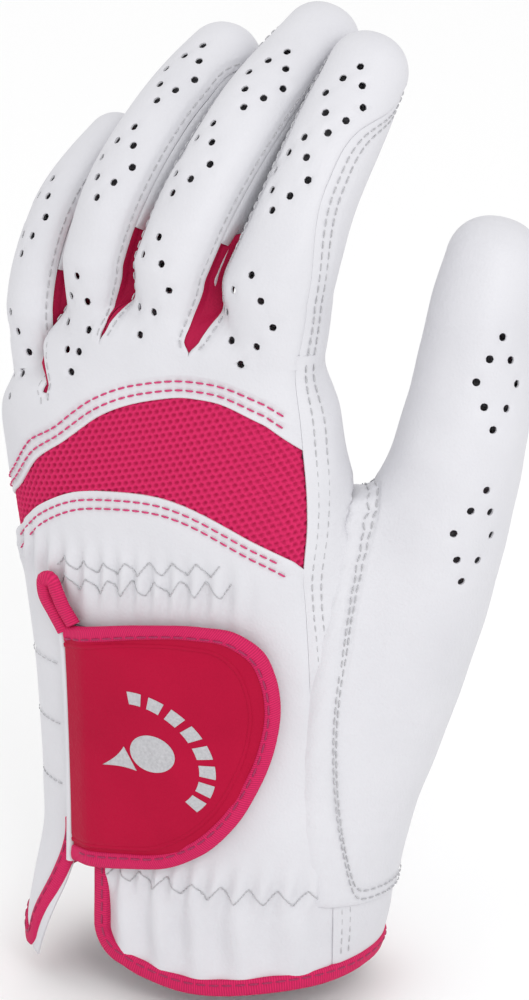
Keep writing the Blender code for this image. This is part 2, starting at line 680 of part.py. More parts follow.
def build_finger(k, leather, wall_leather):
    """The back, front and side walls of one finger stall."""
    name = DIGIT_NAMES[k]
    tube = TUBES[k]
    start, end = TAIL_LENGTHS[k], float(tube.length[-1])
    back_edges = {"index": (-FINGER_BACK_EDGE, INDEX_SEAM), "little": (-LITTLE_SEAM, FINGER_BACK_EDGE)}
    first, last = back_edges.get(name, (-FINGER_BACK_EDGE, FINGER_BACK_EDGE))
    low_wall = name != "little"
    high_wall = name != "index"
    psi = [first + (last - first) * i / 6 for i in range(7)]
    owner = ["back"] * 6
    if high_wall:
        psi += [(last + FINGER_FRONT_EDGE) / 2, FINGER_FRONT_EDGE]
        owner += ["high"] * 2
    front_end = 360 - FINGER_FRONT_EDGE if low_wall else 360 + first
    front_start = psi[-1]
    psi += [front_start + (front_end - front_start) * i / 6 for i in range(1, 7)]
    owner += ["front"] * 6
    if low_wall:
        psi += [(front_end + 360 + first) / 2]
        owner += ["low"] * 2
    else:
        psi = psi[:-1]
    psi = np.radians(psi)
    along = np.linspace(0.0, 1.0, 9)
    over = np.radians([20, 40, 58, 75, 88])
    lead = DIGIT_GAP + (DIGIT_BACK_GAP - DIGIT_GAP) * (1 + np.cos(psi)) / 2
    s = (start + lead)[:, None] * (1 - along) + end * along
    s = np.concatenate([s, np.repeat(end + over[None], len(psi), axis=0)], axis=1)
    origin, direction = tube_rays(tube, np.repeat(psi[:, None], s.shape[1], axis=1), s, end)
    outer, inner = (cast(origin, direction, lambda p: finger_distance(k, p), level, 30.0) for level in LEATHER)
    owner = np.array(owner)[:, None]
    row = np.arange(s.shape[1] - 1)[None]
    back = (owner == "back") & (row < 10)
    walls = {"high": (owner == "high") & (row < 8), "low": (owner == "low") & (row < 8)}
    front = ~(back | walls["high"] | walls["low"])
    add_object(f"{name}_back", sheet_solid([(outer, inner, back)], True, EDGE_DRAW), leather)
    add_object(f"{name}_front", sheet_solid([(outer, inner, front)], True, EDGE_DRAW), leather)
    for side, present in (("high", high_wall), ("low", low_wall)):
        if present:
            facing = DIGIT_NAMES[k + 1] if side == "high" else DIGIT_NAMES[k - 1]
            add_object(f"{name}_wall_to_{facing}", sheet_solid([(outer, inner, walls[side])], True, EDGE_DRAW),
                       wall_leather)


def whole_hand(p):
    return hand_distance(p, np.zeros(len(p), int), np.zeros(len(p)))


def build_thumb(leather):
    psi = np.radians(np.linspace(0, 360, 21)[:-1])
    end = float(THUMB.length[-1])
    cut = float(np.interp(THUMB_CUT, THUMB.points[:, 2], THUMB.length))

    s = np.repeat(np.linspace(6.0, cut - GAP, 17)[None], len(psi), axis=0)
    origin, direction = tube_rays(THUMB, np.repeat(psi[:, None], s.shape[1], axis=1), s, end)
    outer, inner = (cast(origin, direction, whole_hand, level, 45.0) for level in LAPPED)
    flat = outer.reshape(-1, 3)
    clear = (THUMB.distance(flat) < palm_distance(flat) - THUMB_LAP).reshape(s.shape)
    n = np.roll(clear, -1, axis=0)
    keep = clear[:, :-1] & clear[:, 1:] & n[:, :-1] & n[:, 1:]
    add_object("thumb_base", sheet_solid([(outer, inner, keep)], True), leather)

    over = np.radians([20, 40, 58, 75, 88])
    s = np.concatenate([np.linspace(cut + THUMB_GAP, end, 9), end + over])
    s = np.repeat(s[None], len(psi), axis=0)
    origin, direction = tube_rays(THUMB, np.repeat(psi[:, None], s.shape[1], axis=1), s, end)
    outer, inner = (cast(origin, direction, THUMB.distance, level, 30.0) for level in LAPPED)
    keep = cells_of(*s.shape, True)
    strip = np.zeros_like(keep)
    strip[THUMB_SEAM_CELL, :9] = True
    add_object("thumb_panel", sheet_solid([(outer, inner, keep & ~strip)], True, EDGE_DRAW), leather)
    add_object("thumb_seam_strip", sheet_solid([(outer, inner, strip)], True, EDGE_DRAW), leather)


def main():
    for obj in list(bpy.data.objects):
        bpy.data.objects.remove(obj, do_unlink=True)
    leather = material("white_leather", WHITE, 0.5)
    wall_leather = material("wall_leather", WHITE, 0.55)
    mesh_knit = material("mesh_knit", BRIGHT_PINK, 0.7)
    gusset_knit = material("gusset_knit", DARK_PINK, 0.8)
    tape = material("binding_tape", BRIGHT_PINK, 0.65)
    tab_leather = material("tab_leather", PINK, 0.45)
    elastic = material("white_elastic", WHITE, 0.8)
    hook = material("hook_plastic", (0.75, 0.75, 0.77), 0.5)
    loop = material("loop_pile", (0.8, 0.8, 0.82), 0.9)
    ink = material("silver_print", SILVER, 0.35, 0.6)
    build_palm_panel(leather)
    build_upper_back(leather)
    build_gussets(gusset_knit)
    build_insert(mesh_knit)
    build_lower_back(leather)
    build_cuff(leather, elastic, tape)
    build_tab(tab_leather, tape, hook, loop, ink)
    for k in range(4):
        build_finger(k, leather, wall_leather)
    build_thumb(leather)


main()
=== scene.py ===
"""The looks of a left-hand golf glove: stitched leather, a dimpled knit insert and a bound closing tab.

The panels are laid over the same smooth hand form that the CAD parts use, all in millimetres. A chart is a
patch of that form's surface, found by casting rays once and then read anywhere between its grid points.
Every panel is a thin closed sheet on a chart, with its seams, gathers, holes and threads as geometry.
"""

import bpy
import numpy as np
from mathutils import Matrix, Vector
from mathutils.kdtree import KDTree


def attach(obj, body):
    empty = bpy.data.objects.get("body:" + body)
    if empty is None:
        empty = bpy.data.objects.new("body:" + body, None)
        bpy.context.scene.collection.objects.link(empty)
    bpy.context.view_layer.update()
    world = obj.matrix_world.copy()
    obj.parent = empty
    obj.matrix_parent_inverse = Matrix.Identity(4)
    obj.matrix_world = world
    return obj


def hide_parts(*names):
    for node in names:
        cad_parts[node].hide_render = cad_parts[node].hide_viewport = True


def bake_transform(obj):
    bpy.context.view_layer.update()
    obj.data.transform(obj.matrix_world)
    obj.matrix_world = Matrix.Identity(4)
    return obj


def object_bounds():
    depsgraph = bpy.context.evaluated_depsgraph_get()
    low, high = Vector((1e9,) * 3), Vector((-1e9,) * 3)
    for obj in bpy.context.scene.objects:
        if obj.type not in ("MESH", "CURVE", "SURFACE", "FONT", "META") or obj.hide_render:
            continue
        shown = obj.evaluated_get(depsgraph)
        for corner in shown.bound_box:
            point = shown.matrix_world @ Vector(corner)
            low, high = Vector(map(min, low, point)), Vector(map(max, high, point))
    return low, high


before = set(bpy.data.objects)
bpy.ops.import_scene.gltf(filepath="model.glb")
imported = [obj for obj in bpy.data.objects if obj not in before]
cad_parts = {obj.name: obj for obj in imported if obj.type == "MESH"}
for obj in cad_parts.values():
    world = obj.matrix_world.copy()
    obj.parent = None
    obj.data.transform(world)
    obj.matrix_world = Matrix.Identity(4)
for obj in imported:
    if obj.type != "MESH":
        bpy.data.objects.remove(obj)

cad_box = [list(corner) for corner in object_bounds()]
MM = 0.001

# ---- the hand form, as in the CAD source: millimetres and degrees

PALM_LEVELS = (  # z, centre x, centre y, half width, half depth to the back, half depth to the palm
    (-8.0, 0.0, 0.0, 36.5, 25.5, 24.0),
    (20.0, -0.5, 0.0, 36.0, 24.5, 22.0),
    (45.0, -1.0, -1.0, 36.5, 23.5, 20.0),
    (70.0, -2.0, -2.5, 37.5, 22.0, 18.0),
    (95.0, -3.5, -5.0, 39.0, 20.0, 16.5),
    (122.0, -5.0, -7.5, 39.5, 17.0, 14.5),
    (152.0, -6.0, -10.0, 37.0, 11.0, 10.0),
)
PALM_TOP = 152.0
PALM_POWER = 2.3
DIGIT_NAMES = ("little", "ring", "middle", "index")
DIGITS = {  # base point; turn about Z; sideways lean; bend, half width and half depth at BEND_STOPS
    "little": dict(base=(-33.8, -7.0, 135.0), turn=-32, lean=-11.0, length=38.0,
                   bend=(10, 25, 41, 52), half_side=(8.1, 8.0, 7.6, 6.9), half_deep=(9.4, 8.6, 8.0, 7.0)),
    "ring": dict(base=(-17.3, -11.0, 149.0), turn=-18, lean=0.0, length=50.0,
                 bend=(19, 38, 50, 60), half_side=(8.6, 8.9, 8.8, 8.1), half_deep=(10.2, 9.8, 9.2, 8.2)),
    "middle": dict(base=(1.0, -13.5, 151.0), turn=-6, lean=12.5, length=57.5,
                   bend=(18, 38, 52, 60), half_side=(9.1, 9.4, 9.1, 8.4), half_deep=(10.4, 10.2, 9.5, 8.5)),
    "index": dict(base=(22.0, -10.0, 149.0), turn=5, lean=13.5, length=48.5,
                  bend=(12, 26, 37, 45), half_side=(11.2, 9.8, 9.2, 8.5), half_deep=(11.9, 10.4, 9.5, 8.7)),
}
BEND_STOPS = (0.0, 0.35, 0.7, 1.0)
DIGIT_POWER = 2.2
DIGIT_TAIL = 42.0        # how far a finger's tube runs on down into the palm
TAIL_POINTS = 7
TAIL_TAPER = 0.075
TAIL_LEAN, TAIL_MIDDLE = 0.0018, -4.0   # the tails lean away from this x, more the further from it
THUMB_POINTS = (  # x, y, z, radius
    (22.0, 8.0, 10.0, 15.5), (25.0, 10.0, 32.0, 18.0), (31.5, 11.0, 53.0, 18.5), (41.5, 12.0, 77.0, 16.5),
    (50.0, 12.0, 100.0, 13.5), (54.3, 15.0, 122.0, 12.0), (55.6, 19.0, 143.6, 9.8), (55.9, 21.5, 150.0, 9.2),
)
LINE_SAMPLES = 31
FINGER_MELT = 5.0
THUMB_MELT = 14.0
PRESS_MELT = 1.5
PRESS_CLEARANCE = 0.3
PRESS_REACH = 9.0
PALM_FADE, DIGIT_FADE, THUMB_FADE = 25.0, 30.0, 25.0   # how far each is pushed away once a finger stands free
WEB_FILLET = 6.5         # how far the leather of the web stands off the thumb's own form at most

# The perimeter coordinate runs once round the palm, 0 to 4 over the back and on to 8 over the palm side.
PERIMETER = 8.0
COLUMN_EDGES = (0.0, 1.16, 1.9, 2.88, 4.0)
COLUMN_MIDDLES = (0.5, 1.5, 2.5, 3.5)
LOW_ANGLES = (-90, -52, -30, -16, -4, 10, 24, 46, 90, 130, 148, 164, 180, 196, 212, 230, 270)
HIGH_ANGLES = (-105, -32, -17, -18, -16, -6, -8.5, 7, 92, 185, 179.5, 174, 168, 162, 155, 148, 255)
LOW_SPREAD = (-0.62, -0.2, 0.2, 0.62)
SPREAD_START = 0.45
BACK_SPLITS = ((0.78, 1.0), (0.84, 0.95), (0.90, 0.995), (0.90, 1.0), (0.78, 1.0))
PALM_SPLITS = ((0.78, 1.0), (0.92, 1.0), (0.92, 1.0), (0.92, 1.0), (0.78, 1.0))

# ---- seams, as perimeter coordinate against height, or height against perimeter coordinate

RADIAL_SEAM = ((-8, 3.62), (20, 3.6), (45, 3.5), (65, 3.45), (85, 3.53), (100, 3.7), (118, 3.76), (135, 3.74),
               (152, 3.7))
ULNAR_SEAM = 0.16
INSERT_TOP = ((0.16, 91.5), (0.6, 97.0), (1.0, 106.5), (1.4, 112.0), (1.9, 119.5), (2.4, 124.5), (2.9, 126.3),
              (3.3, 124.6), (3.55, 121.0), (3.8, 115.5))
INSERT_BOTTOM = ((0.16, 80.5), (0.5, 86.5), (1.0, 96.0), (1.4, 100.5), (1.9, 103.0), (2.5, 103.4),
                 (2.9, 100.6), (3.2, 96.6), (3.4, 93.6), (3.7, 87.5))
BAND_SEAM = 25.5
SLIT_TOP = 71.2
SLIT_RIGHT = 1.5
HEM = ((0.0, 3.0), (0.45, -1.5), (0.9, -8.0), (1.5, -4.2), (2.4, -7.2), (3.2, -5.4), (4.0, -4.6), (6.0, -2.5),
       (7.2, 2.0), (8.0, 3.0))
UNIT_MM = 21.0          # one perimeter unit across the back, in millimetres
LEATHER_THICKNESS = 0.9
CELL = 0.65             # size of a fine panel's cells


def smoothstep(x):
    x = np.clip(x, 0.0, 1.0)
    return x * x * (3.0 - 2.0 * x)


def unit(v):
    return v / np.maximum(np.linalg.norm(v, axis=-1, keepdims=True), 1e-9)


def curve(stops, values, x):
    """A smooth curve through values at stops, flat beyond the ends."""
    stops = np.asarray(stops, float)
    values = np.asarray(values, float)
    slope = np.gradient(values, stops, axis=0)
    x = np.clip(x, stops[0], stops[-1])
    i = np.clip(np.searchsorted(stops, x, side="right") - 1, 0, len(stops) - 2)
    step = stops[i + 1] - stops[i]
    r = (x - stops[i]) / step
    if values.ndim > 1:
        r = r[..., None]
        step = step[..., None]
    return ((1 + 2 * r) * (1 - r) ** 2 * values[i] + r * (1 - r) ** 2 * step * slope[i]
            + r * r * (3 - 2 * r) * values[i + 1] + r * r * (r - 1) * step * slope[i + 1])


def seam(points, x):
    stops, values = zip(*points)
    return curve(stops, values, x)


def smooth_min(a, b, melt):
    h = np.clip(0.5 + 0.5 * (b - a) / melt, 0.0, 1.0)
    return b * (1 - h) + a * h - melt * h * (1 - h)


def smooth_max(a, b, melt):
    return -smooth_min(-a, -b, melt)


class Tube:
    """A bent tube with an oval section and a round tip."""

    def __init__(self, points, along, side, half_side, half_deep):
        self.points = points
        self.along = along
        self.side = side
        self.back = np.cross(side, along)
        self.half_side = half_side
        self.half_deep = half_deep
        steps = np.linalg.norm(np.diff(points, axis=0), axis=1)
        self.length = np.concatenate([[0.0], np.cumsum(steps)])

    def at(self, s):
        """Centre and unit directions along, side and back at distance s from the low end."""
        def pick(a):
            return np.stack([np.interp(s, self.length, a[:, i]) for i in range(3)], axis=-1)
        return pick(self.points), unit(pick(self.along)), unit(pick(self.side)), unit(pick(self.back))

    def distance(self, p):
        nearest = np.full(len(p), np.inf)
        s = np.zeros(len(p))
        for i, step in enumerate(np.diff(self.length)):
            start = self.points[i]
            run = self.points[i + 1] - start
            r = np.clip((p - start) @ run / step ** 2, 0.0, 1.0)
            off = p - start - r[:, None] * run
            square = np.einsum("ij,ij->i", off, off)
            closer = square < nearest
            nearest = np.where(closer, square, nearest)
            s = np.where(closer, self.length[i] + r * step, s)
        centre, along, side, back = self.at(s)
        off = p - centre
        wide = np.interp(s, self.length, self.half_side)
        deep = np.interp(s, self.length, self.half_deep)
        parts = ((off * side).sum(1) / wide, (off * back).sum(1) / deep,
                 (off * along).sum(1) / np.minimum(wide, deep))
        ratio = sum(np.abs(a) ** DIGIT_POWER for a in parts) ** (1 / DIGIT_POWER)
        return np.linalg.norm(off, axis=1) * (1 - 1 / np.maximum(ratio, 1e-6))


def finger_tube(spec):
    """A finger's tube, with a thinning tail that runs down into the palm."""
    s = np.linspace(0, spec["length"], LINE_SAMPLES)
    bend = np.radians(curve(BEND_STOPS, spec["bend"], s / spec["length"]))
    turn, lean = np.radians(spec["turn"]), np.radians(spec["lean"])
    palmar = np.array([-np.sin(turn), np.cos(turn), 0.0])
    across = np.array([np.cos(turn), np.sin(turn), 0.0])
    up = np.array([0.0, 0.0, 1.0])
    rise = np.sin(lean) * across + np.cos(lean) * up
    along = np.cos(bend)[:, None] * rise + np.sin(bend)[:, None] * palmar
    side = np.repeat((np.cos(lean) * across - np.sin(lean) * up)[None], LINE_SAMPLES, axis=0)
    steps = (along[1:] + along[:-1]) / 2 * np.diff(s)[:, None]
    points = np.array(spec["base"]) + np.concatenate([np.zeros((1, 3)), np.cumsum(steps, axis=0)])
    half_side = curve(BEND_STOPS, spec["half_side"], s / spec["length"])
    half_deep = curve(BEND_STOPS, spec["half_deep"], s / spec["length"])

    tail = np.linspace(-DIGIT_TAIL, 0, TAIL_POINTS + 1)[:-1]
    toward_wrist = np.array([(spec["base"][0] - TAIL_MIDDLE) * TAIL_LEAN, 0.0, 1.0])
    points = np.concatenate([points[0] + tail[:, None] * toward_wrist, points])
    along = np.concatenate([np.repeat(along[:1], len(tail), axis=0), along])
    side = np.concatenate([np.repeat(side[:1], len(tail), axis=0), side])
    half_side = np.concatenate([half_side[0] + TAIL_TAPER * tail, half_side])
    half_deep = np.concatenate([half_deep[0] + TAIL_TAPER * tail, half_deep])
    return Tube(points, along, side, half_side, half_deep)


def thumb_tube():
    spec = np.array(THUMB_POINTS)
    run = np.concatenate([[0.0], np.cumsum(np.linalg.norm(np.diff(spec[:, :3], axis=0), axis=1))])
    s = np.linspace(0, run[-1], LINE_SAMPLES)
    points = curve(run, spec[:, :3], s)
    radius = curve(run, spec[:, 3], s)
    along = unit(np.gradient(points, s, axis=0))
    side = unit(np.cross(np.array([0.0, 1.0, 0.0]), along))
    return Tube(points, along, side, radius, radius)


TUBES = [finger_tube(DIGITS[name]) for name in DIGIT_NAMES]
BASES = np.array([DIGITS[name]["base"] for name in DIGIT_NAMES])
TAILS = [float(t.length[TAIL_POINTS]) for t in TUBES]
LENGTHS = [float(t.length[-1]) - tail for t, tail in zip(TUBES, TAILS)]
THUMB = thumb_tube()
THUMB_LENGTH = float(THUMB.length[-1])


def palm_distance(p):
    stops = np.array(PALM_LEVELS)
    cx, cy, wide, to_back, to_palm = np.moveaxis(curve(stops[:, 0], stops[:, 1:], p[:, 2]), -1, 0)
    x = p[:, 0] - cx
    y = p[:, 1] - cy
    deep = np.where(y < 0, to_back, to_palm)
    ratio = ((np.abs(x) / wide) ** PALM_POWER + (np.abs(y) / deep) ** PALM_POWER) ** (1 / PALM_POWER)
    inside = np.hypot(x, y) * (1 - 1 / np.maximum(ratio, 1e-6))
    return np.maximum(inside, p[:, 2] - PALM_TOP)


def press(d, k, own, tubes, slack):
    """Flattens a distance where finger k meets its neighbours; slack in millimetres keeps the plane away."""
    for other in (k - 1, k + 1):
        if 0 <= other < 4:
            d = smooth_max(d, (own - tubes[other]) / 2 + PRESS_CLEARANCE - slack, PRESS_MELT)
    return d


def hand_distance(p, column, parted):
    """Distance to the hand form as one finger's column sees it; its neighbours fade as it parts from them."""
    d = palm_distance(p) + PALM_FADE * parted ** 2
    tubes = [tube.distance(p) for tube in TUBES]
    for k in range(4):
        d = smooth_min(d, tubes[k] + np.where(column == k, 0.0, DIGIT_FADE * parted), FINGER_MELT)
    d = smooth_min(d, THUMB.distance(p) + THUMB_FADE * parted, THUMB_MELT)
    slack = PRESS_REACH * (1 - parted) ** 2
    pressed = sum(np.where(column == k, press(d, k, tubes[k], tubes, slack), 0.0) for k in range(4))
    return np.where(parted > 0, pressed, d)


def finger_distance(k, p):
    tubes = [tube.distance(p) if abs(i - k) < 2 else None for i, tube in enumerate(TUBES)]
    return press(tubes[k], k, tubes[k], tubes, 0.0)


def whole_hand(p):
    return hand_distance(p, np.zeros(len(p), int), np.zeros(len(p)))


def fork_height(u):
    """Height of the fingers' forks at perimeter coordinate u."""
    return np.interp(np.where(u <= 4, u, PERIMETER - u), COLUMN_MIDDLES, BASES[:, 2])


def level_height(u, t):
    """Height of level t, 0 at the wrist and 1 at the finger forks."""
    return t * fork_height(u)


def level(u, z):
    """Level of height z."""
    return z / fork_height(np.mod(u, PERIMETER))


def column_axis(k, t):
    z = t * BASES[k, 2]
    stops = np.array(PALM_LEVELS)
    cx, cy, wide = np.moveaxis(curve(stops[:, 0], stops[:, 1:4], z), -1, 0)
    spread = smoothstep((t - SPREAD_START) / (1 - SPREAD_START))
    x = (cx + wide * LOW_SPREAD[k]) * (1 - spread) + BASES[k, 0] * spread
    y = cy * (1 - spread) + BASES[k, 1] * spread
    return np.stack([x, y, z], axis=-1)


def palm_rays(u, t, column=None):
    """Ray origins and directions at perimeter coordinate u (0 to 8) and level t (to 1)."""
    back = u <= 4
    fold = np.where(back, u, 8 - u)
    place = np.interp(fold, COLUMN_EDGES, range(5))
    if column is None:
        column = np.clip(np.where(back, np.floor(place), np.ceil(place) - 1), 0, 3).astype(int)
    x = place - column
    axes = np.stack([column_axis(k, t) for k in range(4)], axis=0)

    def pick(index):
        return np.take_along_axis(axes, index[None, ..., None].repeat(3, -1), axis=0)[0]

    place = np.clip(fold - 0.5, 0, 3)
    low = np.clip(np.floor(place), 0, 2).astype(int)
    part = (place - low)[..., None]
    shared = pick(low) * (1 - part) + pick(low + 1) * part
    knots = np.arange(len(LOW_ANGLES)) * 0.5
    spread = smoothstep((t - SPREAD_START) / (1 - SPREAD_START))
    angle = np.radians(curve(knots, LOW_ANGLES, u) * (1 - spread) + curve(knots, HIGH_ANGLES, u) * spread)
    flat = np.stack([np.sin(angle), -np.cos(angle), np.zeros_like(angle)], axis=-1)

    splits = np.where(back[..., None, None], np.array(BACK_SPLITS), np.array(PALM_SPLITS))

    def parted_at(edge):
        pair = np.take_along_axis(splits, edge[..., None, None].repeat(2, -1), axis=-2)[..., 0, :]
        return smoothstep((t - pair[..., 0]) / (pair[..., 1] - pair[..., 0]))

    parted = parted_at(column) * (1 - x) + parted_at(column + 1) * x
    psi = np.radians(np.where(back, (2 * x - 1) * 90, 180 - (2 * x - 1) * 90))
    own = np.zeros(u.shape + (3,))
    for k, tube in enumerate(TUBES):
        _, _, side, outward = tube.at(np.array(TAILS[k]))
        mine = column == k
        own[mine] = np.cos(psi[mine])[:, None] * outward + np.sin(psi[mine])[:, None] * side
    blend = parted[..., None]
    origin = shared * (1 - blend) + pick(column) * blend
    return origin, unit(flat * (1 - blend) + own * blend), column, parted


FIRST_REACH = 2.5
STEP_SHARE = 0.7         # how much of the distance still to go one step takes
SHORTEST_STEP = 0.8
MOST_STEPS = 60
HALVINGS = 10


def cast(origin, direction, distance, reach=80.0):
    """Where rays first leave a distance function's zero level."""
    shape = origin.shape
    o = origin.reshape(-1, 3)
    d = direction.reshape(-1, 3)
    low = np.zeros(len(o))
    high = np.full(len(o), reach)
    found = np.zeros(len(o), bool)
    r = np.full(len(o), FIRST_REACH)
    for _ in range(MOST_STEPS):
        value = distance(o + d * r[:, None])
        leaves = (value > 0) & ~found
        high = np.where(leaves, r, high)
        found |= leaves
        low = np.where(found, low, r)
        r = np.where(found, r, np.minimum(r + np.maximum(-STEP_SHARE * value, SHORTEST_STEP), reach))
        if found.all():
            break
    for _ in range(HALVINGS):
        r = (low + high) / 2
        beyond = distance(o + d * r[:, None]) > 0
        high = np.where(beyond, r, high)
        low = np.where(beyond, low, r)
    return (o + d * ((low + high) / 2)[:, None]).reshape(shape)


class Chart:
    """A smooth surface known on a grid of two coordinates, read anywhere between the grid's lines."""

    def __init__(self, a, b, points, outward):
        self.a, self.b, self.points = a, b, points
        run = np.gradient(points, axis=0)
        rise = np.gradient(points, axis=1)
        normal = unit(np.cross(run, rise))
        self.normals = normal * np.sign(np.mean((normal * outward).sum(-1)))

    def read(self, values, a, b):
        result = 0.0
        fa = np.interp(a, self.a, np.arange(len(self.a)))
        fb = np.interp(b, self.b, np.arange(len(self.b)))
        ia, ib = np.floor(fa).astype(int), np.floor(fb).astype(int)

        def weights(r):
            return (-0.5 * r + r * r - 0.5 * r ** 3, 1 - 2.5 * r * r + 1.5 * r ** 3,
                    0.5 * r + 2 * r * r - 1.5 * r ** 3, -0.5 * r * r + 0.5 * r ** 3)

        wa, wb = weights(fa - ia), weights(fb - ib)
        for m in range(4):
            row = np.clip(ia + m - 1, 0, len(self.a) - 1)
            for n in range(4):
                column = np.clip(ib + n - 1, 0, len(self.b) - 1)
                result = result + (wa[m] * wb[n])[..., None] * values[row, column]
        return result

    def at(self, a, b):
        """Points and unit normals at the coordinates."""
        a, b = np.broadcast_arrays(a, b)
        return self.read(self.points, a, b), unit(self.read(self.normals, a, b))


PALM_TURN = 160          # columns of the palm's chart once round
DIGIT_COLUMNS = 49
DIGIT_ROWS = 25          # rows of a finger's chart below its fork, and again above it
DIGIT_LOWEST = 0.64      # level where a finger's chart starts
THUMB_TURN = 60
THUMB_ROOT = 2.0


def palm_chart():
    """The whole palm tube, up to just under the forks; a is the perimeter coordinate, run on past 8."""
    u = np.linspace(0.0, 1.2 * PERIMETER, 193)
    t = np.linspace(-0.08, 0.925, 64)
    grid = np.meshgrid(np.mod(u[:PALM_TURN], PERIMETER), t, indexing="ij")
    origin, direction, column, parted = palm_rays(*grid)
    c, p = column.reshape(-1), parted.reshape(-1)
    points = cast(origin, direction, lambda q: hand_distance(q, c, p))
    again = np.arange(len(u)) % PALM_TURN
    return Chart(u, t, points[again], direction[again])


TIP_STEPS = np.radians((12, 24, 36, 48, 60, 70, 79, 86, 90))


def tip_radius(k):
    return DIGITS[DIGIT_NAMES[k]]["half_deep"][-1]


def tube_grid(tube, psi, s, over, distance, reach=45.0):
    """Points on a tube's surface and their ray directions, over angles psi and rows of (s, over)."""
    a = np.radians(psi)[:, None]
    centre, along, side, back = (v[None] for v in tube.at(s))
    flat = np.cos(a)[..., None] * back + np.sin(a)[..., None] * side
    direction = unit(np.cos(over)[None, :, None] * flat + np.sin(over)[None, :, None] * along)
    origin = np.broadcast_to(centre, direction.shape)
    return cast(origin, direction, distance, reach), direction


def tip_rows(s):
    """Rows along a tube and then over its tip: distances along it, and the rays' turn towards its end."""
    return np.append(s, np.repeat(s[-1], len(TIP_STEPS))), np.append(np.zeros(len(s)), TIP_STEPS)


def digit_chart(k, on_back):
    """One side of a finger, from its column of the palm to its tip, by angle and distance past the fork.

    Below the fork, the angles past a column's side read its edge, except round the hand's own two sides.
    """
    name = DIGIT_NAMES[k]
    psi = np.linspace(-180, 180, DIGIT_COLUMNS) if on_back else np.linspace(0, 360, DIGIT_COLUMNS)
    t = np.linspace(DIGIT_LOWEST, 1.0, DIGIT_ROWS)[:-1]
    s = np.linspace(0.0, LENGTHS[k], DIGIT_ROWS)
    first, last = (-90, 90) if on_back else (90, 270)
    if name == "little":
        first, last = (-180, 90) if on_back else (90, 360)
    if name == "index":
        first, last = (-90, 180) if on_back else (0, 270)
    a, levels = np.meshgrid(np.clip(psi, first, last), t, indexing="ij")
    a = np.where(a > 270, a - 360, a)
    a = np.where(a < -90, a + 360, a)
    on_top = (a <= 90) if on_back else (a < 90)
    x = np.where(on_top, (a / 90 + 1) / 2, ((180 - a) / 90 + 1) / 2)
    fold = COLUMN_EDGES[k] + x * (COLUMN_EDGES[k + 1] - COLUMN_EDGES[k])
    u = np.where(on_top, fold, PERIMETER - fold)
    origin, direction, column, parted = palm_rays(u, levels, np.full(u.shape, k))
    c, p = column.reshape(-1), parted.reshape(-1)
    low = cast(origin, direction, lambda q: hand_distance(q, c, p))
    rows, over = tip_rows(s)
    high, outward = tube_grid(TUBES[k], psi, rows + TAILS[k], over, lambda q: finger_distance(k, q))
    b = np.concatenate([(t - 1) * BASES[k, 2], s, s[-1] + TIP_STEPS * tip_radius(k)])
    return Chart(psi, b, np.concatenate([low, high], axis=1), np.concatenate([direction, outward], axis=1))


def thumb_chart():
    """The thumb out of the whole hand, twice round, kept near the thumb's own form beside the web."""
    psi = np.linspace(-360, 360, 2 * THUMB_TURN + 1)
    s = np.linspace(THUMB_ROOT, THUMB_LENGTH, 56)
    rows, over = tip_rows(s)
    points, outward = tube_grid(THUMB, psi[:THUMB_TURN], rows, over, whole_hand, 60.0)
    own, _ = tube_grid(THUMB, psi[:THUMB_TURN], rows, over, THUMB.distance, 60.0)
    centre = THUMB.at(rows)[0]
    widest = np.linalg.norm(own - centre, axis=-1) + WEB_FILLET
    reach = np.minimum(np.linalg.norm(points - centre, axis=-1), widest)
    points = centre + outward * reach[..., None]
    again = np.arange(len(psi)) % THUMB_TURN
    b = np.concatenate([s, s[-1] + TIP_STEPS * THUMB_POINTS[-1][3]])
    return Chart(psi, b, points[again], outward[again])


PALM = palm_chart()
BACKS = [digit_chart(k, True) for k in range(4)]
FRONTS = [digit_chart(k, False) for k in range(4)]
THUMB_SKIN = thumb_chart()

# ---- closed sheets from grids of chart points

EDGE_DROP = (0.32, 0.1)      # how far the outer face rounds down at a cut edge, and one cell in
HOLE_RADIUS = 0.85
STITCH_PITCH = 2.3
STITCH_SHARE = 0.74
THREAD_RADIUS = 0.2
STITCH_DENT = 0.26
DENT_REACH = 1.25
THREAD_SIDES = 6
THREAD_RINGS = (         # share of the stitch's length, share of its radius, rise in millimetres
    (0.0, 0.5, -0.12), (0.14, 1.0, 0.0), (0.5, 1.12, 0.03), (0.86, 1.0, 0.0), (1.0, 0.5, -0.12),
)
THREAD_GAP = 0.02
WELD = 0.004
SHARP_EDGE = 62          # degrees
UV_PER_MM = 0.01


def spaced(start, end, step):
    """Evenly spaced values from start to end, about step apart."""
    return np.linspace(start, end, max(2, int(np.ceil(abs(end - start) / step)) + 1))


def spread(first, last, count):
    """Columns from the values of first to those of last, one row for each place along them."""
    x = np.linspace(0.0, 1.0, count)[:, None]
    return np.asarray(first)[None] * (1 - x) + np.asarray(last)[None] * x


class Grid:
    """A patch of a sheet: points, normals and flat coordinates in millimetres."""

    def __init__(self, points, normals, joined=None):
        self.points, self.normals = points, normals
        rows, columns = points.shape[:2]
        self.keep = np.ones((rows - 1, columns - 1), bool)
        self.joined = np.zeros((rows, columns), bool)
        if joined == "end":
            self.joined[:, -1] = True
        if joined == "start":
            self.joined[:, 0] = True
        across = np.linalg.norm(np.diff(points, axis=0), axis=-1).mean(1)
        up = np.linalg.norm(np.diff(points, axis=1), axis=-1).mean(0)
        self.flat = np.stack(np.meshgrid(np.append(0, np.cumsum(across)), np.append(0, np.cumsum(up)),
                                         indexing="ij"), axis=-1)


def on(chart, a, b, joined=None):
    return Grid(*chart.at(a, b), joined)


def palm_at(u, z):
    return PALM.at(u, level(u, z))


def on_palm(u, z, joined=None):
    return Grid(*palm_at(u, z), joined)


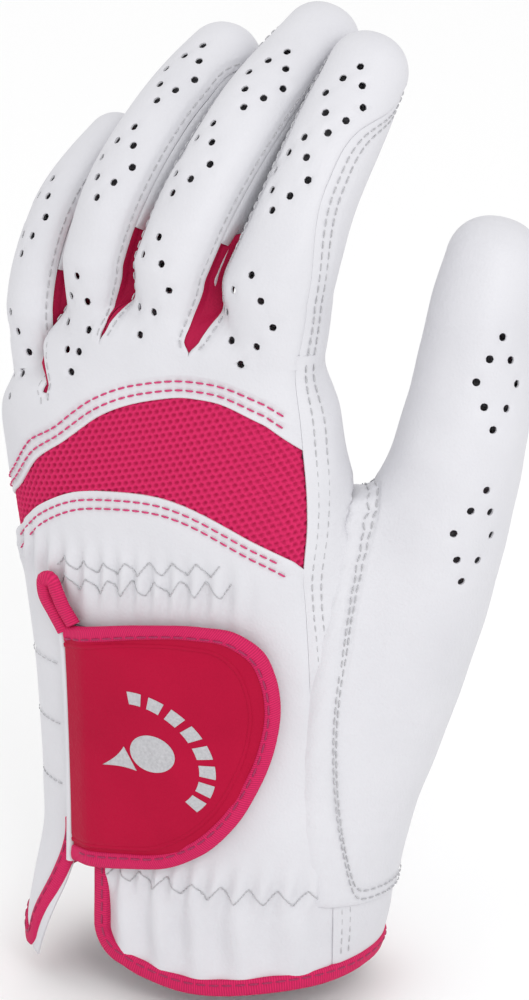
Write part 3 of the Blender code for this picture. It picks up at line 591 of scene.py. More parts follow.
def unit_rows(columns, rows):
    """Shares across and along a grid, as a column and a row that broadcast to it."""
    return np.linspace(0.0, 1.0, columns)[:, None], np.linspace(0.0, 1.0, rows)[None]


def weld_grids(grids):
    points = np.concatenate([g.points.reshape(-1, 3) for g in grids])
    key = np.round(points / WELD).astype(np.int64)
    _, first, index = np.unique(key, axis=0, return_index=True, return_inverse=True)
    index = index.reshape(-1)
    normals = np.zeros((len(first), 3))
    np.add.at(normals, index, np.concatenate([g.normals.reshape(-1, 3) for g in grids]))
    flat = np.concatenate([g.flat.reshape(-1, 2) for g in grids])[first]
    joined = np.zeros(len(first), bool)
    np.logical_or.at(joined, index, np.concatenate([g.joined.reshape(-1) for g in grids]))
    quads, start = [], 0
    normals = unit(normals)
    for g in grids:
        rows, columns = g.points.shape[:2]
        ids = index[start:start + rows * columns].reshape(rows, columns)
        start += rows * columns
        q = np.stack([ids[:-1, :-1], ids[1:, :-1], ids[1:, 1:], ids[:-1, 1:]], axis=-1)[g.keep]
        p = points[first][q]
        facing = (np.cross(p[:, 2] - p[:, 0], p[:, 3] - p[:, 1]) * normals[q[:, 0]]).sum()
        quads.append(q if facing > 0 else q[:, ::-1])
    return points[first], normals, flat, joined, np.concatenate(quads)


def punch(points, quads, holes):
    """Opens round holes: the cells over a hole go, and the points round it move onto its circle."""
    for centre in holes:
        middle = points[quads].mean(1)
        gone = np.linalg.norm(middle - centre, axis=1) < HOLE_RADIUS * 1.05
        if not gone.any():
            continue
        rim = np.intersect1d(quads[gone], quads[~gone])
        quads = quads[~gone]
        off = points[rim] - centre
        points[rim] = centre + unit(off) * HOLE_RADIUS
    return points, quads


def boundary(quads, count):
    """The directed edges that only one face uses."""
    a = quads.reshape(-1)
    b = np.roll(quads, -1, axis=1).reshape(-1)
    real = a != b
    a, b = a[real], b[real]
    single = ~np.isin(a * count + b, b * count + a)
    return a[single], b[single]


def thread_mesh(stitches):
    """Small round-ended lengths of thread; a stitch is (start, end, normal, radius)."""
    sides = np.radians(np.arange(THREAD_SIDES) * 360 / THREAD_SIDES)
    last_ring = (len(THREAD_RINGS) - 1) * THREAD_SIDES
    points, faces = [], []
    for start, end, normal, radius in stitches:
        along = end - start
        across = unit(np.cross(along, normal))
        base = len(points) * THREAD_SIDES
        for share, wide, lift in THREAD_RINGS:
            centre = start + along * share + normal * lift
            around = np.cos(sides)[:, None] * across + np.sin(sides)[:, None] * normal
            points.append(centre + radius * wide * around)
        for low in range(base, base + last_ring, THREAD_SIDES):
            for i in range(THREAD_SIDES):
                n = (i + 1) % THREAD_SIDES
                faces.append([low + i, low + n, low + n + THREAD_SIDES, low + i + THREAD_SIDES])
        faces.append([base + i for i in reversed(range(THREAD_SIDES))])
        faces.append([base + last_ring + i for i in range(THREAD_SIDES)])
    return np.concatenate(points), faces


def row_of_stitches(points, normals, pitch=STITCH_PITCH, radius=THREAD_RADIUS, share=STITCH_SHARE):
    """Stitches laid along a line of points."""
    run = np.append(0, np.cumsum(np.linalg.norm(np.diff(points, axis=0), axis=1)))
    count = int(run[-1] / pitch)
    starts = (np.arange(count) + 0.1) * pitch

    def pick(values, s):
        return np.stack([np.interp(s, run, values[:, i]) for i in range(3)], axis=-1)

    normal = unit(pick(normals, starts + pitch / 2))
    first, last = pick(points, starts), pick(points, starts + pitch * share)
    return [(first[i], last[i], normal[i], radius) for i in range(count)]


def sewn(chart, a, b, **options):
    """A row of stitches along a chart's coordinates."""
    return row_of_stitches(*chart.at(a, b), **options)


def sewn_on_palm(u, z, **options):
    return row_of_stitches(*palm_at(u, z), **options)


def dents(points, stitches):
    """How far each point sinks under the rows of stitches."""
    tree = KDTree(len(points))
    for i, p in enumerate(points):
        tree.insert(p, i)
    tree.balance()
    sink = np.zeros(len(points))
    for start, end, _, _ in stitches:
        for share in (0.0, 0.5, 1.0):
            for _, i, d in tree.find_range(start + (end - start) * share, DENT_REACH):
                sink[i] = max(sink[i], STITCH_DENT * (1 - (d / DENT_REACH) ** 2))
    return sink


def link(name, points, faces, flat=None, materials=(), threads=None, shade=None):
    mesh = bpy.data.meshes.new(name)
    count = len(points)
    sheet_faces = len(faces)
    if threads:
        extra, extra_faces = thread_mesh(threads)
        faces = faces + [[i + count for i in f] for f in extra_faces]
        points = np.concatenate([points, extra])
    mesh.from_pydata((points * MM).tolist(), [], faces)
    for material in materials:
        mesh.materials.append(material)
    slots = np.zeros(len(faces), int)
    slots[sheet_faces:] = 1
    mesh.polygons.foreach_set("material_index", slots)
    if flat is not None:
        uv = np.zeros((len(points), 2))
        uv[:count] = flat * UV_PER_MM
        corner = np.zeros(len(mesh.loops), int)
        mesh.loops.foreach_get("vertex_index", corner)
        layer = mesh.uv_layers.new(name="UVMap")
        layer.data.foreach_set("uv", uv[corner].reshape(-1))
    if shade is not None:
        values = np.ones(len(points))
        values[:count] = shade
        mesh.attributes.new("shade", "FLOAT", "POINT").data.foreach_set("value", values)
    mesh.validate()
    mesh.shade_smooth()
    mesh.set_sharp_from_angle(angle=np.radians(SHARP_EDGE))
    obj = bpy.data.objects.new(name, mesh)
    bpy.context.scene.collection.objects.link(obj)
    return obj


def sheet(name, grids, materials, lift=0.0, thickness=LEATHER_THICKNESS, stitches=(), holes=(),
          relief=None, shade=None, drop=EDGE_DROP):
    """A closed thin sheet with rounded edges, its threads pressed into it."""
    points, normals, flat, joined, quads = weld_grids(grids)
    points, quads = punch(points, quads, holes)
    count = len(points)
    a, b = boundary(quads, count)
    low = np.zeros(count)
    rim = np.zeros(count, bool)
    rim[a] = True
    near = np.zeros(count, bool)
    near[quads[rim[quads].any(1)]] = True
    low[near] = drop[1]
    low[rim] = drop[0]
    beside_join = np.zeros(count, bool)
    beside_join[quads[joined[quads].any(1)]] = True
    low[beside_join & ~rim] = 0.0
    low[joined] = 0.0
    rise = np.full(count, lift, float)
    if relief is not None:
        rise += relief(points, normals)
    if stitches:
        rise -= dents(points, stitches)
    outer = points + normals * (rise - low)[:, None]
    inner = points + normals * (rise - thickness + low * 0.5)[:, None]
    faces = np.concatenate([quads, quads[:, ::-1] + count, np.stack([b, a, a + count, b + count], axis=1)])
    used = np.unique(faces)
    renumber = np.zeros(2 * count, int)
    renumber[used] = np.arange(len(used))
    faces = [list(dict.fromkeys(f)) for f in renumber[faces].tolist()]
    faces = [f for f in faces if len(f) > 2]
    both = np.concatenate([outer, inner])[used]
    tone = None if shade is None else np.concatenate([shade(points)] * 2)[used]
    gap = lift + THREAD_GAP
    lifted = [(s + n * gap, e + n * gap, n, r) for s, e, n, r in stitches]
    return link(name, both, faces, np.concatenate([flat, flat])[used], materials, lifted, tone)


def sweep(name, centre, side, normal, profile, materials, stitches=()):
    """A tape or cord along a path; profile is a closed line of distances along side and along normal."""
    profile = np.array(profile)
    count = len(profile)
    rows = len(centre)
    points = centre[:, None] + side[:, None] * profile[None, :, 0:1] + normal[:, None] * profile[None, :, 1:2]
    ids = np.arange(rows * count).reshape(rows, count)
    over = np.roll(ids, -1, axis=1)
    faces = np.stack([ids[:-1], over[:-1], over[1:], ids[1:]], axis=-1).reshape(-1, 4)
    points = points.reshape(-1, 3)
    p = points[faces]
    hub = p.mean(1) - centre[np.repeat(np.arange(len(faces) // count), count)]
    if (np.cross(p[:, 2] - p[:, 0], p[:, 3] - p[:, 1]) * hub).sum() < 0:
        faces = faces[:, ::-1]
    faces = faces.tolist()
    edges = {(f[i], f[(i + 1) % 4]) for f in faces for i in range(4)}
    for cap in (ids[0].tolist(), ids[-1].tolist()):
        faces.append(cap if (cap[1], cap[0]) in edges else cap[::-1])
    run = np.append(0, np.cumsum(np.linalg.norm(np.diff(centre, axis=0), axis=1)))
    wide = np.append(0, np.cumsum(np.linalg.norm(np.diff(profile, axis=0), axis=1)))
    flat = np.stack([np.repeat(run, count), np.tile(wide, rows)], axis=-1)
    return link(name, points, faces, flat, materials, stitches)


def across_path(points, normals):
    """Unit vectors within the surface, at right angles to a path on it."""
    return unit(np.cross(normals, unit(np.gradient(points, axis=0))))


def smooth_path(points, step, scale=(UNIT_MM, 1.0)):
    """An even, smooth run of (u, z) points through a few given ones."""
    points = np.array(points, float)
    run = np.append(0, np.cumsum(np.linalg.norm(np.diff(points * np.array(scale), axis=0), axis=1)))
    return curve(run, points, spaced(0.0, run[-1], step)).T


# ---- procedural materials

def nodes_of(name):
    material = bpy.data.materials.new(name)
    material.use_nodes = True
    tree = material.node_tree
    return material, tree, tree.nodes["Principled BSDF"]


def set_inputs(node, **values):
    for key, value in values.items():
        node.inputs[key.replace("_", " ")].default_value = value


def add_node(tree, kind, **values):
    node = tree.nodes.new(kind)
    set_inputs(node, **values)
    return node


def placed(tree, *nodes):
    """Lays textures out by place on the object."""
    place = tree.nodes.new("ShaderNodeTexCoord").outputs["Object"]
    for node in nodes:
        tree.links.new(place, node.inputs["Vector"])


def mixed_colour(tree, shader, factor, first, second):
    mix = tree.nodes.new("ShaderNodeMix")
    mix.data_type = "RGBA"
    mix.inputs[6].default_value = (*first, 1.0)
    mix.inputs[7].default_value = (*second, 1.0)
    tree.links.new(factor, mix.inputs[0])
    tree.links.new(mix.outputs[2], shader.inputs["Base Color"])
    return mix


def span(tree, value, low, high, start=0.0, end=1.0):
    node = add_node(tree, "ShaderNodeMapRange", From_Min=start, From_Max=end, To_Min=low, To_Max=high)
    tree.links.new(value, node.inputs["Value"])
    return node.outputs["Result"]


def add_bump(tree, shader, height, strength, distance, below=None):
    bump = add_node(tree, "ShaderNodeBump", Strength=strength, Distance=distance)
    tree.links.new(height, bump.inputs["Height"])
    if below is not None:
        tree.links.new(below.outputs["Normal"], bump.inputs["Normal"])
    tree.links.new(bump.outputs["Normal"], shader.inputs["Normal"])
    return bump


def leather_look(name, colour, shaded, roughness, grain=0.00012, gloss=0.4):
    """Fine-grained leather: pebbled cells, pores and slow changes of tint and gloss."""
    material, tree, shader = nodes_of(name)
    tint = add_node(tree, "ShaderNodeTexNoise", Scale=38.0, Detail=4.0, Roughness=0.55)
    pores = add_node(tree, "ShaderNodeTexVoronoi", Scale=1500.0)
    creases = add_node(tree, "ShaderNodeTexNoise", Scale=520.0, Detail=5.0, Roughness=0.6)
    placed(tree, tint, pores, creases)
    mixed_colour(tree, shader, span(tree, tint.outputs["Fac"], 0.0, 1.0, 0.3, 0.75), colour, shaded)
    rough = span(tree, creases.outputs["Fac"], roughness - 0.07, roughness + 0.09)
    tree.links.new(rough, shader.inputs["Roughness"])
    low = add_bump(tree, shader, creases.outputs["Fac"], 0.35, grain * 1.6)
    add_bump(tree, shader, pores.outputs["Distance"], 0.3, grain, low)
    set_inputs(shader, Specular_IOR_Level=gloss)
    return material


def knit_look(name, bright, deep, scale, sheen=0.35):
    """Fine jersey: rows of small loops, with painted shade: the deep colour is drawn in the mesh's hollows,
    where the shade attribute is low.
    """
    material, tree, shader = nodes_of(name)
    loops = add_node(tree, "ShaderNodeTexVoronoi", Scale=scale)
    tint = add_node(tree, "ShaderNodeTexNoise", Scale=90.0, Detail=3.0)
    placed(tree, loops, tint)
    hollow = tree.nodes.new("ShaderNodeAttribute")
    hollow.attribute_name = "shade"
    mix = mixed_colour(tree, shader, hollow.outputs["Fac"], deep, bright)
    soft = tree.nodes.new("ShaderNodeMix")
    soft.data_type = "RGBA"
    soft.blend_type = "MULTIPLY"
    tree.links.new(span(tree, tint.outputs["Fac"], 0.0, 0.3), soft.inputs[0])
    tree.links.new(mix.outputs[2], soft.inputs[6])
    soft.inputs[7].default_value = (0.78, 0.7, 0.74, 1.0)
    tree.links.new(soft.outputs[2], shader.inputs["Base Color"])
    add_bump(tree, shader, loops.outputs["Distance"], 0.5, 0.00018)
    set_inputs(shader, Roughness=0.72, Sheen_Weight=sheen, Sheen_Roughness=0.4, Sheen_Tint=(*bright, 1.0),
               Specular_IOR_Level=0.15)
    return material


def tape_look(name, bright, deep, rib=0.53):
    """Ribbed woven tape; the ribs run across its length, which its flat coordinates follow. Its deep colour
    is painted shade in the grooves between the ribs.
    """
    material, tree, shader = nodes_of(name)
    flat = tree.nodes.new("ShaderNodeUVMap").outputs["UV"]
    rib_scale = 2 * np.pi / (20.0 * rib * UV_PER_MM)
    ribs = add_node(tree, "ShaderNodeTexWave", Scale=rib_scale, Distortion=0.35, Detail=1.0)
    ribs.bands_direction = "X"
    fuzz = add_node(tree, "ShaderNodeTexNoise", Scale=160.0, Detail=4.0)
    for node in (ribs, fuzz):
        tree.links.new(flat, node.inputs["Vector"])
    # Painted shade: the low parts of the ribs take the deep colour.
    mixed_colour(tree, shader, span(tree, ribs.outputs["Fac"], 0.15, 1.0), deep, bright)
    low = add_bump(tree, shader, fuzz.outputs["Fac"], 0.3, 0.0001)
    add_bump(tree, shader, ribs.outputs["Fac"], 0.6, 0.00018, low)
    set_inputs(shader, Roughness=0.62, Sheen_Weight=0.25, Sheen_Tint=(*bright, 1.0), Specular_IOR_Level=0.15)
    return material


def thread_look(name, colour):
    """Twisted thread with a fine cross-wise twist, and painted shade in the twist's grooves."""
    material, tree, shader = nodes_of(name)
    twist = add_node(tree, "ShaderNodeTexWave", Scale=420.0, Distortion=1.5)
    twist.bands_direction = "DIAGONAL"
    placed(tree, twist)
    dark = tuple(c * 0.82 for c in colour)
    # Painted shade: the low parts of the twist take the darker colour.
    mixed_colour(tree, shader, twist.outputs["Fac"], dark, colour)
    add_bump(tree, shader, twist.outputs["Fac"], 0.4, 0.00008)
    set_inputs(shader, Roughness=0.5)
    return material


def woven_look(name, colour, scale, roughness):
    """Plain woven elastic, loops or moulded hooks: a fine regular relief."""
    material, tree, shader = nodes_of(name)
    cells = add_node(tree, "ShaderNodeTexVoronoi", Scale=scale, Randomness=0.35)
    placed(tree, cells)
    dark = tuple(c * 0.7 for c in colour)
    mixed_colour(tree, shader, span(tree, cells.outputs["Distance"], 1.0, 0.0, 0.0, 0.8), dark, colour)
    add_bump(tree, shader, cells.outputs["Distance"], 0.8, 0.0004)
    set_inputs(shader, Roughness=roughness)
    return material


def print_look(name):
    """Raised silver ink: softly metallic with a fine sparkle."""
    material, tree, shader = nodes_of(name)
    grain = add_node(tree, "ShaderNodeTexNoise", Scale=1800.0, Detail=2.0)
    placed(tree, grain)
    mixed_colour(tree, shader, grain.outputs["Fac"], (0.36, 0.36, 0.38), (0.6, 0.6, 0.62))
    add_bump(tree, shader, grain.outputs["Fac"], 0.3, 0.00006)
    set_inputs(shader, Metallic=0.55, Roughness=0.38)
    return material


WHITE = leather_look("white leather", (0.65, 0.648, 0.68), (0.60, 0.598, 0.63), 0.5)
WALL = leather_look("wall leather", (0.63, 0.63, 0.66), (0.57, 0.57, 0.60), 0.55)
PINK = leather_look("pink leather", (0.42, 0.004, 0.037), (0.36, 0.003, 0.031), 0.5, gloss=0.08)
# The mesh's second colour is painted shade in its hollows.
MESH = knit_look("dimpled mesh with painted shade", (0.63, 0.02, 0.115), (0.38, 0.008, 0.06), 2600.0)
GUSSET = knit_look("gusset knit", (0.40, 0.008, 0.055), (0.22, 0.004, 0.03), 1900.0, 0.2)
# The tape's second colour is painted shade in its rib grooves.
TAPE = tape_look("binding tape", (0.66, 0.02, 0.12), (0.42, 0.01, 0.07))
# The thread is white; its mid grey colour is painted shade along the rows of stitches.
WHITE_THREAD_PAINTED_SHADE = thread_look("white thread in painted shade", (0.50, 0.50, 0.52))
PINK_THREAD = thread_look("pink thread", (0.62, 0.03, 0.16))
DARK_THREAD = thread_look("dark pink thread", (0.34, 0.008, 0.08))
ELASTIC = woven_look("white elastic", (0.78, 0.78, 0.8), 900.0, 0.8)
HOOKS = woven_look("moulded hooks", (0.7, 0.7, 0.72), 1300.0, 0.5)
LOOPS = woven_look("loop pile", (0.74, 0.74, 0.76), 700.0, 0.9)
SILVER = print_look("silver print")


# ---- the glove's pieces

SLOT_EDGES = {           # start level, and how many degrees each side stands back low down and high up
    1: (0.84, 12.0, 14.0), 2: (0.90, 6.0, 12.0), 3: (0.90, 7.0, 16.0),
}
SLOT_TAPER = 0.012
GUSSET_TOP = 8.0         # how far past the fork the knit shows between two fingers
JOIN = 0.9               # level where the back's leather passes from the palm's body to the fingers'
FRONT_JOIN = 0.92
DEGREE_MM = 0.157        # one degree round a finger
CLUSTER = ((0, 8.6), (-2.6, 4.5), (2.6, 4.5), (-5.0, 0), (5.0, 0), (-2.6, -4.5), (2.6, -4.5), (0, -8.6))
CLUSTERS = {  # angle and distance past the fork of each group of holes
    "little": ((-5, -10), (-2, 17)), "ring": ((3, -13), (3, 18), (9, 39.5)),
    "middle": ((-12, -4), (-21, 20), (4, 40)), "index": ((-15, -6.5), (-22, 21.5), (5, 38.5)),
}
THUMB_CLUSTERS = ((54, 94), (48, 124))
THUMB_SEAM = 11.0        # the thumb leather starts where its own form is this much further than the palm's
THUMB_STITCHES = 2.0     # its stitch rows start from where it is this much further
THUMB_LIFT = 0.85
NEAR_THUMB = 12.0
LONGEST_CELL = (1.9, 5.0)   # a palm cell with a longer diagonal is left out, near the thumb and elsewhere
STITCH_INSET = 1.5       # from a finger panel's edge to its stitches
INSERT_ROWS = (1.7, 3.6)    # distances of the two stitch rows from the knit insert's seams
RADIAL_ROWS = (1.7, 3.4)    # and of those beside the radial seam
CORNER_ROUND = 8.0
FLAP_EDGE = ((-9.0, 0.86), (0.0, 0.98), (10.0, 1.14), (20.0, 1.24), (30.0, 1.24), (78.0, 1.22))
FLAP_LIFT = 4.5
FOLD_DEPTH = 0.22
ZIGZAG_PARTS = 4         # stitches in each straight run of a zigzag
ZIGZAG_PITCH = 4.4
ZIGZAG_RISE = 0.12
FINGER_BLEND = (-13.0, 14.0)
THUMB_BLEND = (-6.0, 26.0)
THUMB_BASE_S = 94.0


def soft_folds(points, normals):
    """Slow, shallow waves, as leather has that is not stretched tight."""
    x, y, z = points.T
    wave = np.sin(z / 7.3 + 1.8 * np.sin(x / 13.0) + y / 9.0) + 0.7 * np.sin(x / 4.6 + z / 15.0 + 1.3)
    return FOLD_DEPTH * 0.5 * wave + 0.06 * np.sin(z / 2.9 + x / 3.7 + 2.0 * np.sin(z / 19.0))


def gathers(points, normals):
    """Folds that the two elastics pull in across the back."""
    x, y, z = points.T
    back = smoothstep((-6.0 - y) / 8.0)
    upper = np.exp(-((z - 83.5) / 5.5) ** 2) * smoothstep((26.0 - x) / 10.0)
    lower = np.exp(-((z - 16.5) / 4.5) ** 2)
    below = np.exp(-((z - 5.0) / 9.0) ** 2)
    pucker = np.sin(x * 1.43 + 1.1 * np.sin(z / 5.0) + 0.8 * np.sin(x / 6.0))
    fold = np.sin(x * 0.66 + 0.5 * np.sin(z / 9.0) + 0.9 * np.sin(x / 11.0))
    rise = 0.8 * (upper + lower) * (0.35 + pucker) + 1.0 * below * (0.1 + fold)
    return soft_folds(points, normals) + back * rise


def finish_piece(obj, nodes=(), body=None):
    """Hides the CAD nodes that a piece replaces and puts it on the body it rides on."""
    if nodes:
        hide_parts(*nodes)
    if body:
        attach(obj, body)


def loose_stitches(name, stitches):
    """Rows of stitches on the palm's body as their own piece, laid on the leather."""
    points, faces = thread_mesh(stitches)
    obj = link(name, points, faces, materials=[WHITE_THREAD_PAINTED_SHADE])
    finish_piece(obj, body="palm")


def blend_finger(obj, k):
    along = TUBES[k].along[TAIL_POINTS]
    start, end = (tuple((BASES[k] + along * reach) * MM) for reach in FINGER_BLEND)
    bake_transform(obj)
    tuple(start)
    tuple(end)


def blend_thumb(obj):
    centre, along, _, _ = THUMB.at(np.array(THUMB_BASE_S))
    start, end = (tuple((centre + along * reach) * MM) for reach in THUMB_BLEND)
    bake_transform(obj)
    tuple(start)
    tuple(end)


def slot_angle(edge, t):
    """How far, in degrees, the leather stands back from a column's side at a slot."""
    start, low, high = SLOT_EDGES[edge]
    return np.where(t < start, 0.0, (low + (high - low) * (t - start) / (1 - start))
                    * smoothstep((t - start) / SLOT_TAPER))


def hand_edge(side, t):
    """The angle of the radial or ulnar seam on the outer finger column, at level t."""
    if side == "radial":
        u = seam(RADIAL_SEAM, level_height(np.full_like(t, 3.5), t))
        return ((u - COLUMN_EDGES[3]) / (COLUMN_EDGES[4] - COLUMN_EDGES[3]) * 2 - 1) * 90
    return np.full_like(t, (ULNAR_SEAM / COLUMN_EDGES[1] * 2 - 1) * 90)


def column_edges(k, t):
    """First and last angle of finger column k's back leather at level t."""
    first = hand_edge("ulnar", t) if k == 0 else -90 + slot_angle(k, t)
    last = hand_edge("radial", t) if k == 3 else 90 - slot_angle(k + 1, t)
    return first, last


def offset_seam(points, distance):
    """A seam given as height against perimeter coordinate, moved sideways by a distance."""
    def moved(u):
        slope = (seam(points, u + 0.02) - seam(points, u - 0.02)) / (0.04 * UNIT_MM)
        return seam(points, u) + distance * np.sqrt(1 + slope ** 2)
    return moved


def cluster_points(k):
    """Middles of the holes punched over one finger."""
    holes = []
    for angle, reach in CLUSTERS[DIGIT_NAMES[k]]:
        for dx, dz in CLUSTER:
            shrink = 1.0 if reach < 0 else 0.86
            turn = angle + dx * shrink / DEGREE_MM
            holes.append(BACKS[k].at(np.array(turn), np.array(reach + dz * shrink))[0])
    return holes


def upper_back():
    """The leather above the knuckle mesh, one piece round the three slots, up to the fingers' roots."""
    grids, stitches, holes = [], [], []
    last_edge = None
    for k in range(4):
        u0, u1 = COLUMN_EDGES[k], COLUMN_EDGES[k + 1]
        across = max(24, int((u1 - u0) * UNIT_MM / CELL))
        x, r = unit_rows(across, 56)
        middle = np.full_like(r, (u0 + u1) / 2)
        t = level(middle, seam(INSERT_TOP, middle))
        t = t + (JOIN - t) * r
        for _ in range(2):
            first, last = column_edges(k, t)
            angle = first * (1 - x) + last * x
            u = u0 + (angle / 90 + 1) / 2 * (u1 - u0)
            base = level(u, seam(INSERT_TOP, u))
            t = base + (JOIN - base) * r
        grid = on(BACKS[k], angle, (t - 1) * BASES[k, 2], joined="end")
        if last_edge is not None:
            whole = t[0] < SLOT_EDGES[k][0] + 0.001
            grid.points[0, whole] = last_edge[0][whole]
            grid.normals[0, whole] = last_edge[1][whole]
        last_edge = grid.points[-1], grid.normals[-1]
        grids.append(grid)
        holes += cluster_points(k)
    u = np.linspace(ULNAR_SEAM + 0.03, 3.66, 240)
    for distance in INSERT_ROWS:
        stitches += sewn_on_palm(u, offset_seam(INSERT_TOP, distance)(u))
    obj = sheet("upper_back_leather", grids, [WHITE, PINK_THREAD], stitches=stitches, holes=holes,
                relief=soft_folds)
    finish_piece(obj, ["upper_back_panel"], body="palm")
    white = []
    for edge in SLOT_EDGES:
        t = np.linspace(SLOT_EDGES[edge][0] - SLOT_TAPER, JOIN, 40)
        inset = slot_angle(edge, t) + STITCH_INSET / DEGREE_MM
        for k, angle in ((edge - 1, 90 - inset), (edge, -90 + inset)):
            white += sewn(BACKS[k], angle, (t - 1) * BASES[k, 2], radius=0.15)
    loose_stitches("slot_stitching", white)


DIMPLE_ROW, DIMPLE_PITCH = 1.35, 1.7     # from one row of hollows to the next, and along a row


def dimples(points):
    """Staggered hollows of the knuckle mesh; 0 on the ribs and 1 in a hollow. They sink the mesh and also
    mask the shade painted in its hollows.
    """
    x, y, z = points.T
    run = np.degrees(np.arctan2(x, -y + 26.0)) * 0.95
    row = (z - 0.28 * x) / DIMPLE_ROW
    shift = np.where(np.mod(np.floor(row), 2) > 0.5, 0.5, 0.0)
    across = np.abs(np.mod(run / DIMPLE_PITCH + shift, 1.0) - 0.5) * 2
    up = np.abs(np.mod(row, 1.0) - 0.5) * 2
    return smoothstep((1.0 - np.hypot(across, up)) / 0.7)


MESH_END = 3.76
MESH_UNDER = 1.2         # how far the mesh runs on under the leather
DIMPLE_DEPTH = 0.42


def knuckle_mesh():
    u = np.linspace(ULNAR_SEAM, MESH_END, 230)[:, None]
    r = np.linspace(0.0, 1.0, 76)[None]
    low = offset_seam(INSERT_BOTTOM, -MESH_UNDER)(u)
    high = offset_seam(INSERT_TOP, MESH_UNDER)(u)
    z = low * (1 - r) + high * r
    share = (u - ULNAR_SEAM) / (MESH_END - ULNAR_SEAM)
    u = np.minimum(u + 0 * z, ULNAR_SEAM + share * (seam(RADIAL_SEAM, z) - ULNAR_SEAM) + 0.02)
    # The shade attribute paints shade into the mesh's hollows, darkest where dimples() is 1.
    obj = sheet("knuckle_mesh", [on_palm(u, z)], [MESH], lift=-0.75, thickness=0.8,
                relief=lambda p, n: -DIMPLE_DEPTH * dimples(p), shade=lambda p: 1.0 - dimples(p))
    finish_piece(obj, ["knuckle_insert"], body="palm")


def zigzag(u0, u1, z, half_height=1.7):
    """Zigzag stitching across the back, lying on the gathered leather; z gives its middle's height at u."""
    count = int((u1 - u0) * UNIT_MM / ZIGZAG_PITCH * 2)
    knots = np.arange(count)
    fine = np.linspace(0, count - 1, (count - 1) * ZIGZAG_PARTS + 1)
    u = np.interp(fine, knots, np.linspace(u0, u1, count))
    height = z(u) + half_height * np.interp(fine, knots, np.where(knots % 2, 1.0, -1.0))
    points, normals = palm_at(u, height)
    points = points + normals * (gathers(points, normals) + ZIGZAG_RISE)[:, None]
    return [(points[i], points[i + 1], normals[i], 0.15) for i in range(len(points) - 1)]


ELASTIC_LOW, ELASTIC_HIGH = 81.0, 85.2
FIRST_GUESS = 65.0       # height from which the panel's slanting end at the radial seam is found


def elastic_row(low):
    """Height of a zigzag row over the upper elastic, which climbs towards the thumb side."""
    return lambda u: low + 4.0 * smoothstep((u - 1.4) / 1.4)


def lower_back():
    """The leather between the mesh and the cuff, cut away under the closing tab's slit."""
    def grid_of(first, last, columns):
        x, r = unit_rows(columns, 34)
        z = FIRST_GUESS
        for _ in range(4):
            u = first + (last(z) - first) * x
            z = SLIT_TOP + (seam(INSERT_BOTTOM, u) - SLIT_TOP) * r
        return u, z

    x = np.linspace(0.0, 1.0, 68)[:, None]
    below = np.linspace(BAND_SEAM, SLIT_TOP, 84)[None]
    low_u = SLIT_RIGHT + (seam(RADIAL_SEAM, below) - SLIT_RIGHT) * x
    ulnar_side = on_palm(*grid_of(ULNAR_SEAM, lambda z: SLIT_RIGHT, 48), joined="start")
    main = on_palm(*grid_of(SLIT_RIGHT, lambda z: seam(RADIAL_SEAM, z), 68))
    low = on_palm(low_u, below + 0 * low_u, joined="start")
    main.points[0], main.normals[0] = ulnar_side.points[-1], ulnar_side.normals[-1]
    low.points[:, -1], low.normals[:, -1] = main.points[:, 0], main.normals[:, 0]
    u = np.linspace(ULNAR_SEAM + 0.03, 3.42, 240)
    pink = []
    for distance in INSERT_ROWS:
        pink += sewn_on_palm(u, offset_seam(INSERT_BOTTOM, -distance)(u))
    obj = sheet("lower_back_leather", [ulnar_side, main, low], [WHITE, PINK_THREAD], stitches=pink,
                relief=gathers)
    finish_piece(obj, ["lower_back_panel"], body="palm")
    rows = zigzag(1.2, 2.96, elastic_row(ELASTIC_LOW)) + zigzag(1.2, 2.9, elastic_row(ELASTIC_HIGH), 1.4)
    loose_stitches("upper_elastic_stitching", rows)


def hem(u):
    return seam(HEM, np.mod(u, PERIMETER))


def cuff_edge(u):
    """The cuff's lower edge, turning up round the corner at the slit."""
    reach = np.clip(1 - (u - SLIT_RIGHT) * UNIT_MM / CORNER_ROUND, 0.0, 1.0)
    return hem(u) + CORNER_ROUND * (1 - np.sqrt(1 - reach ** 2))


def flare(u, z):
    """How far the slit's free corner stands off the wrist."""
    return FLAP_LIFT * smoothstep((24.0 - z) / 26.0) * smoothstep((np.mod(u + 4, PERIMETER) - 4 - 0.1) / 0.7)


CUFF_GUESS = 10.0        # the same for the cuff


def cuff():
    x, r = unit_rows(68, 44)
    z = CUFF_GUESS + 0 * x * r
    for _ in range(4):
        u = SLIT_RIGHT + (seam(RADIAL_SEAM, z) - SLIT_RIGHT) * x
        z = cuff_edge(u) + (BAND_SEAM - cuff_edge(u)) * r
    obj = sheet("cuff_leather", [on_palm(u, z, joined="end")], [WHITE], relief=gathers)
    finish_piece(obj, ["cuff_band"], body="palm")
    loose_stitches("lower_elastic_stitching", zigzag(1.62, 3.5, lambda v: 17.0 - 1.0 * (v - 1.6)))


def ulnar():
    x, r = unit_rows(40, 120)
    z = hem(0.5) + (SLIT_TOP - hem(0.5)) * r + 0 * x
    u = ULNAR_SEAM + (seam(FLAP_EDGE, z) - ULNAR_SEAM) * x
    z = hem(u) + (SLIT_TOP - hem(u)) * r
    grid = on_palm(u, z, joined="end")
    grid.points = grid.points + grid.normals * flare(u, z)[..., None]
    line = np.linspace(0.2, 1.1, 60)
    rows = []
    for height in (30, 44, 58):
        rows += sewn_on_palm(line, height + 2.0 * line, radius=0.12)
    obj = sheet("ulnar_leather", [grid], [WHITE, WHITE_THREAD_PAINTED_SHADE], stitches=rows, relief=soft_folds)
    finish_piece(obj, ["ulnar_panel"], body="palm")


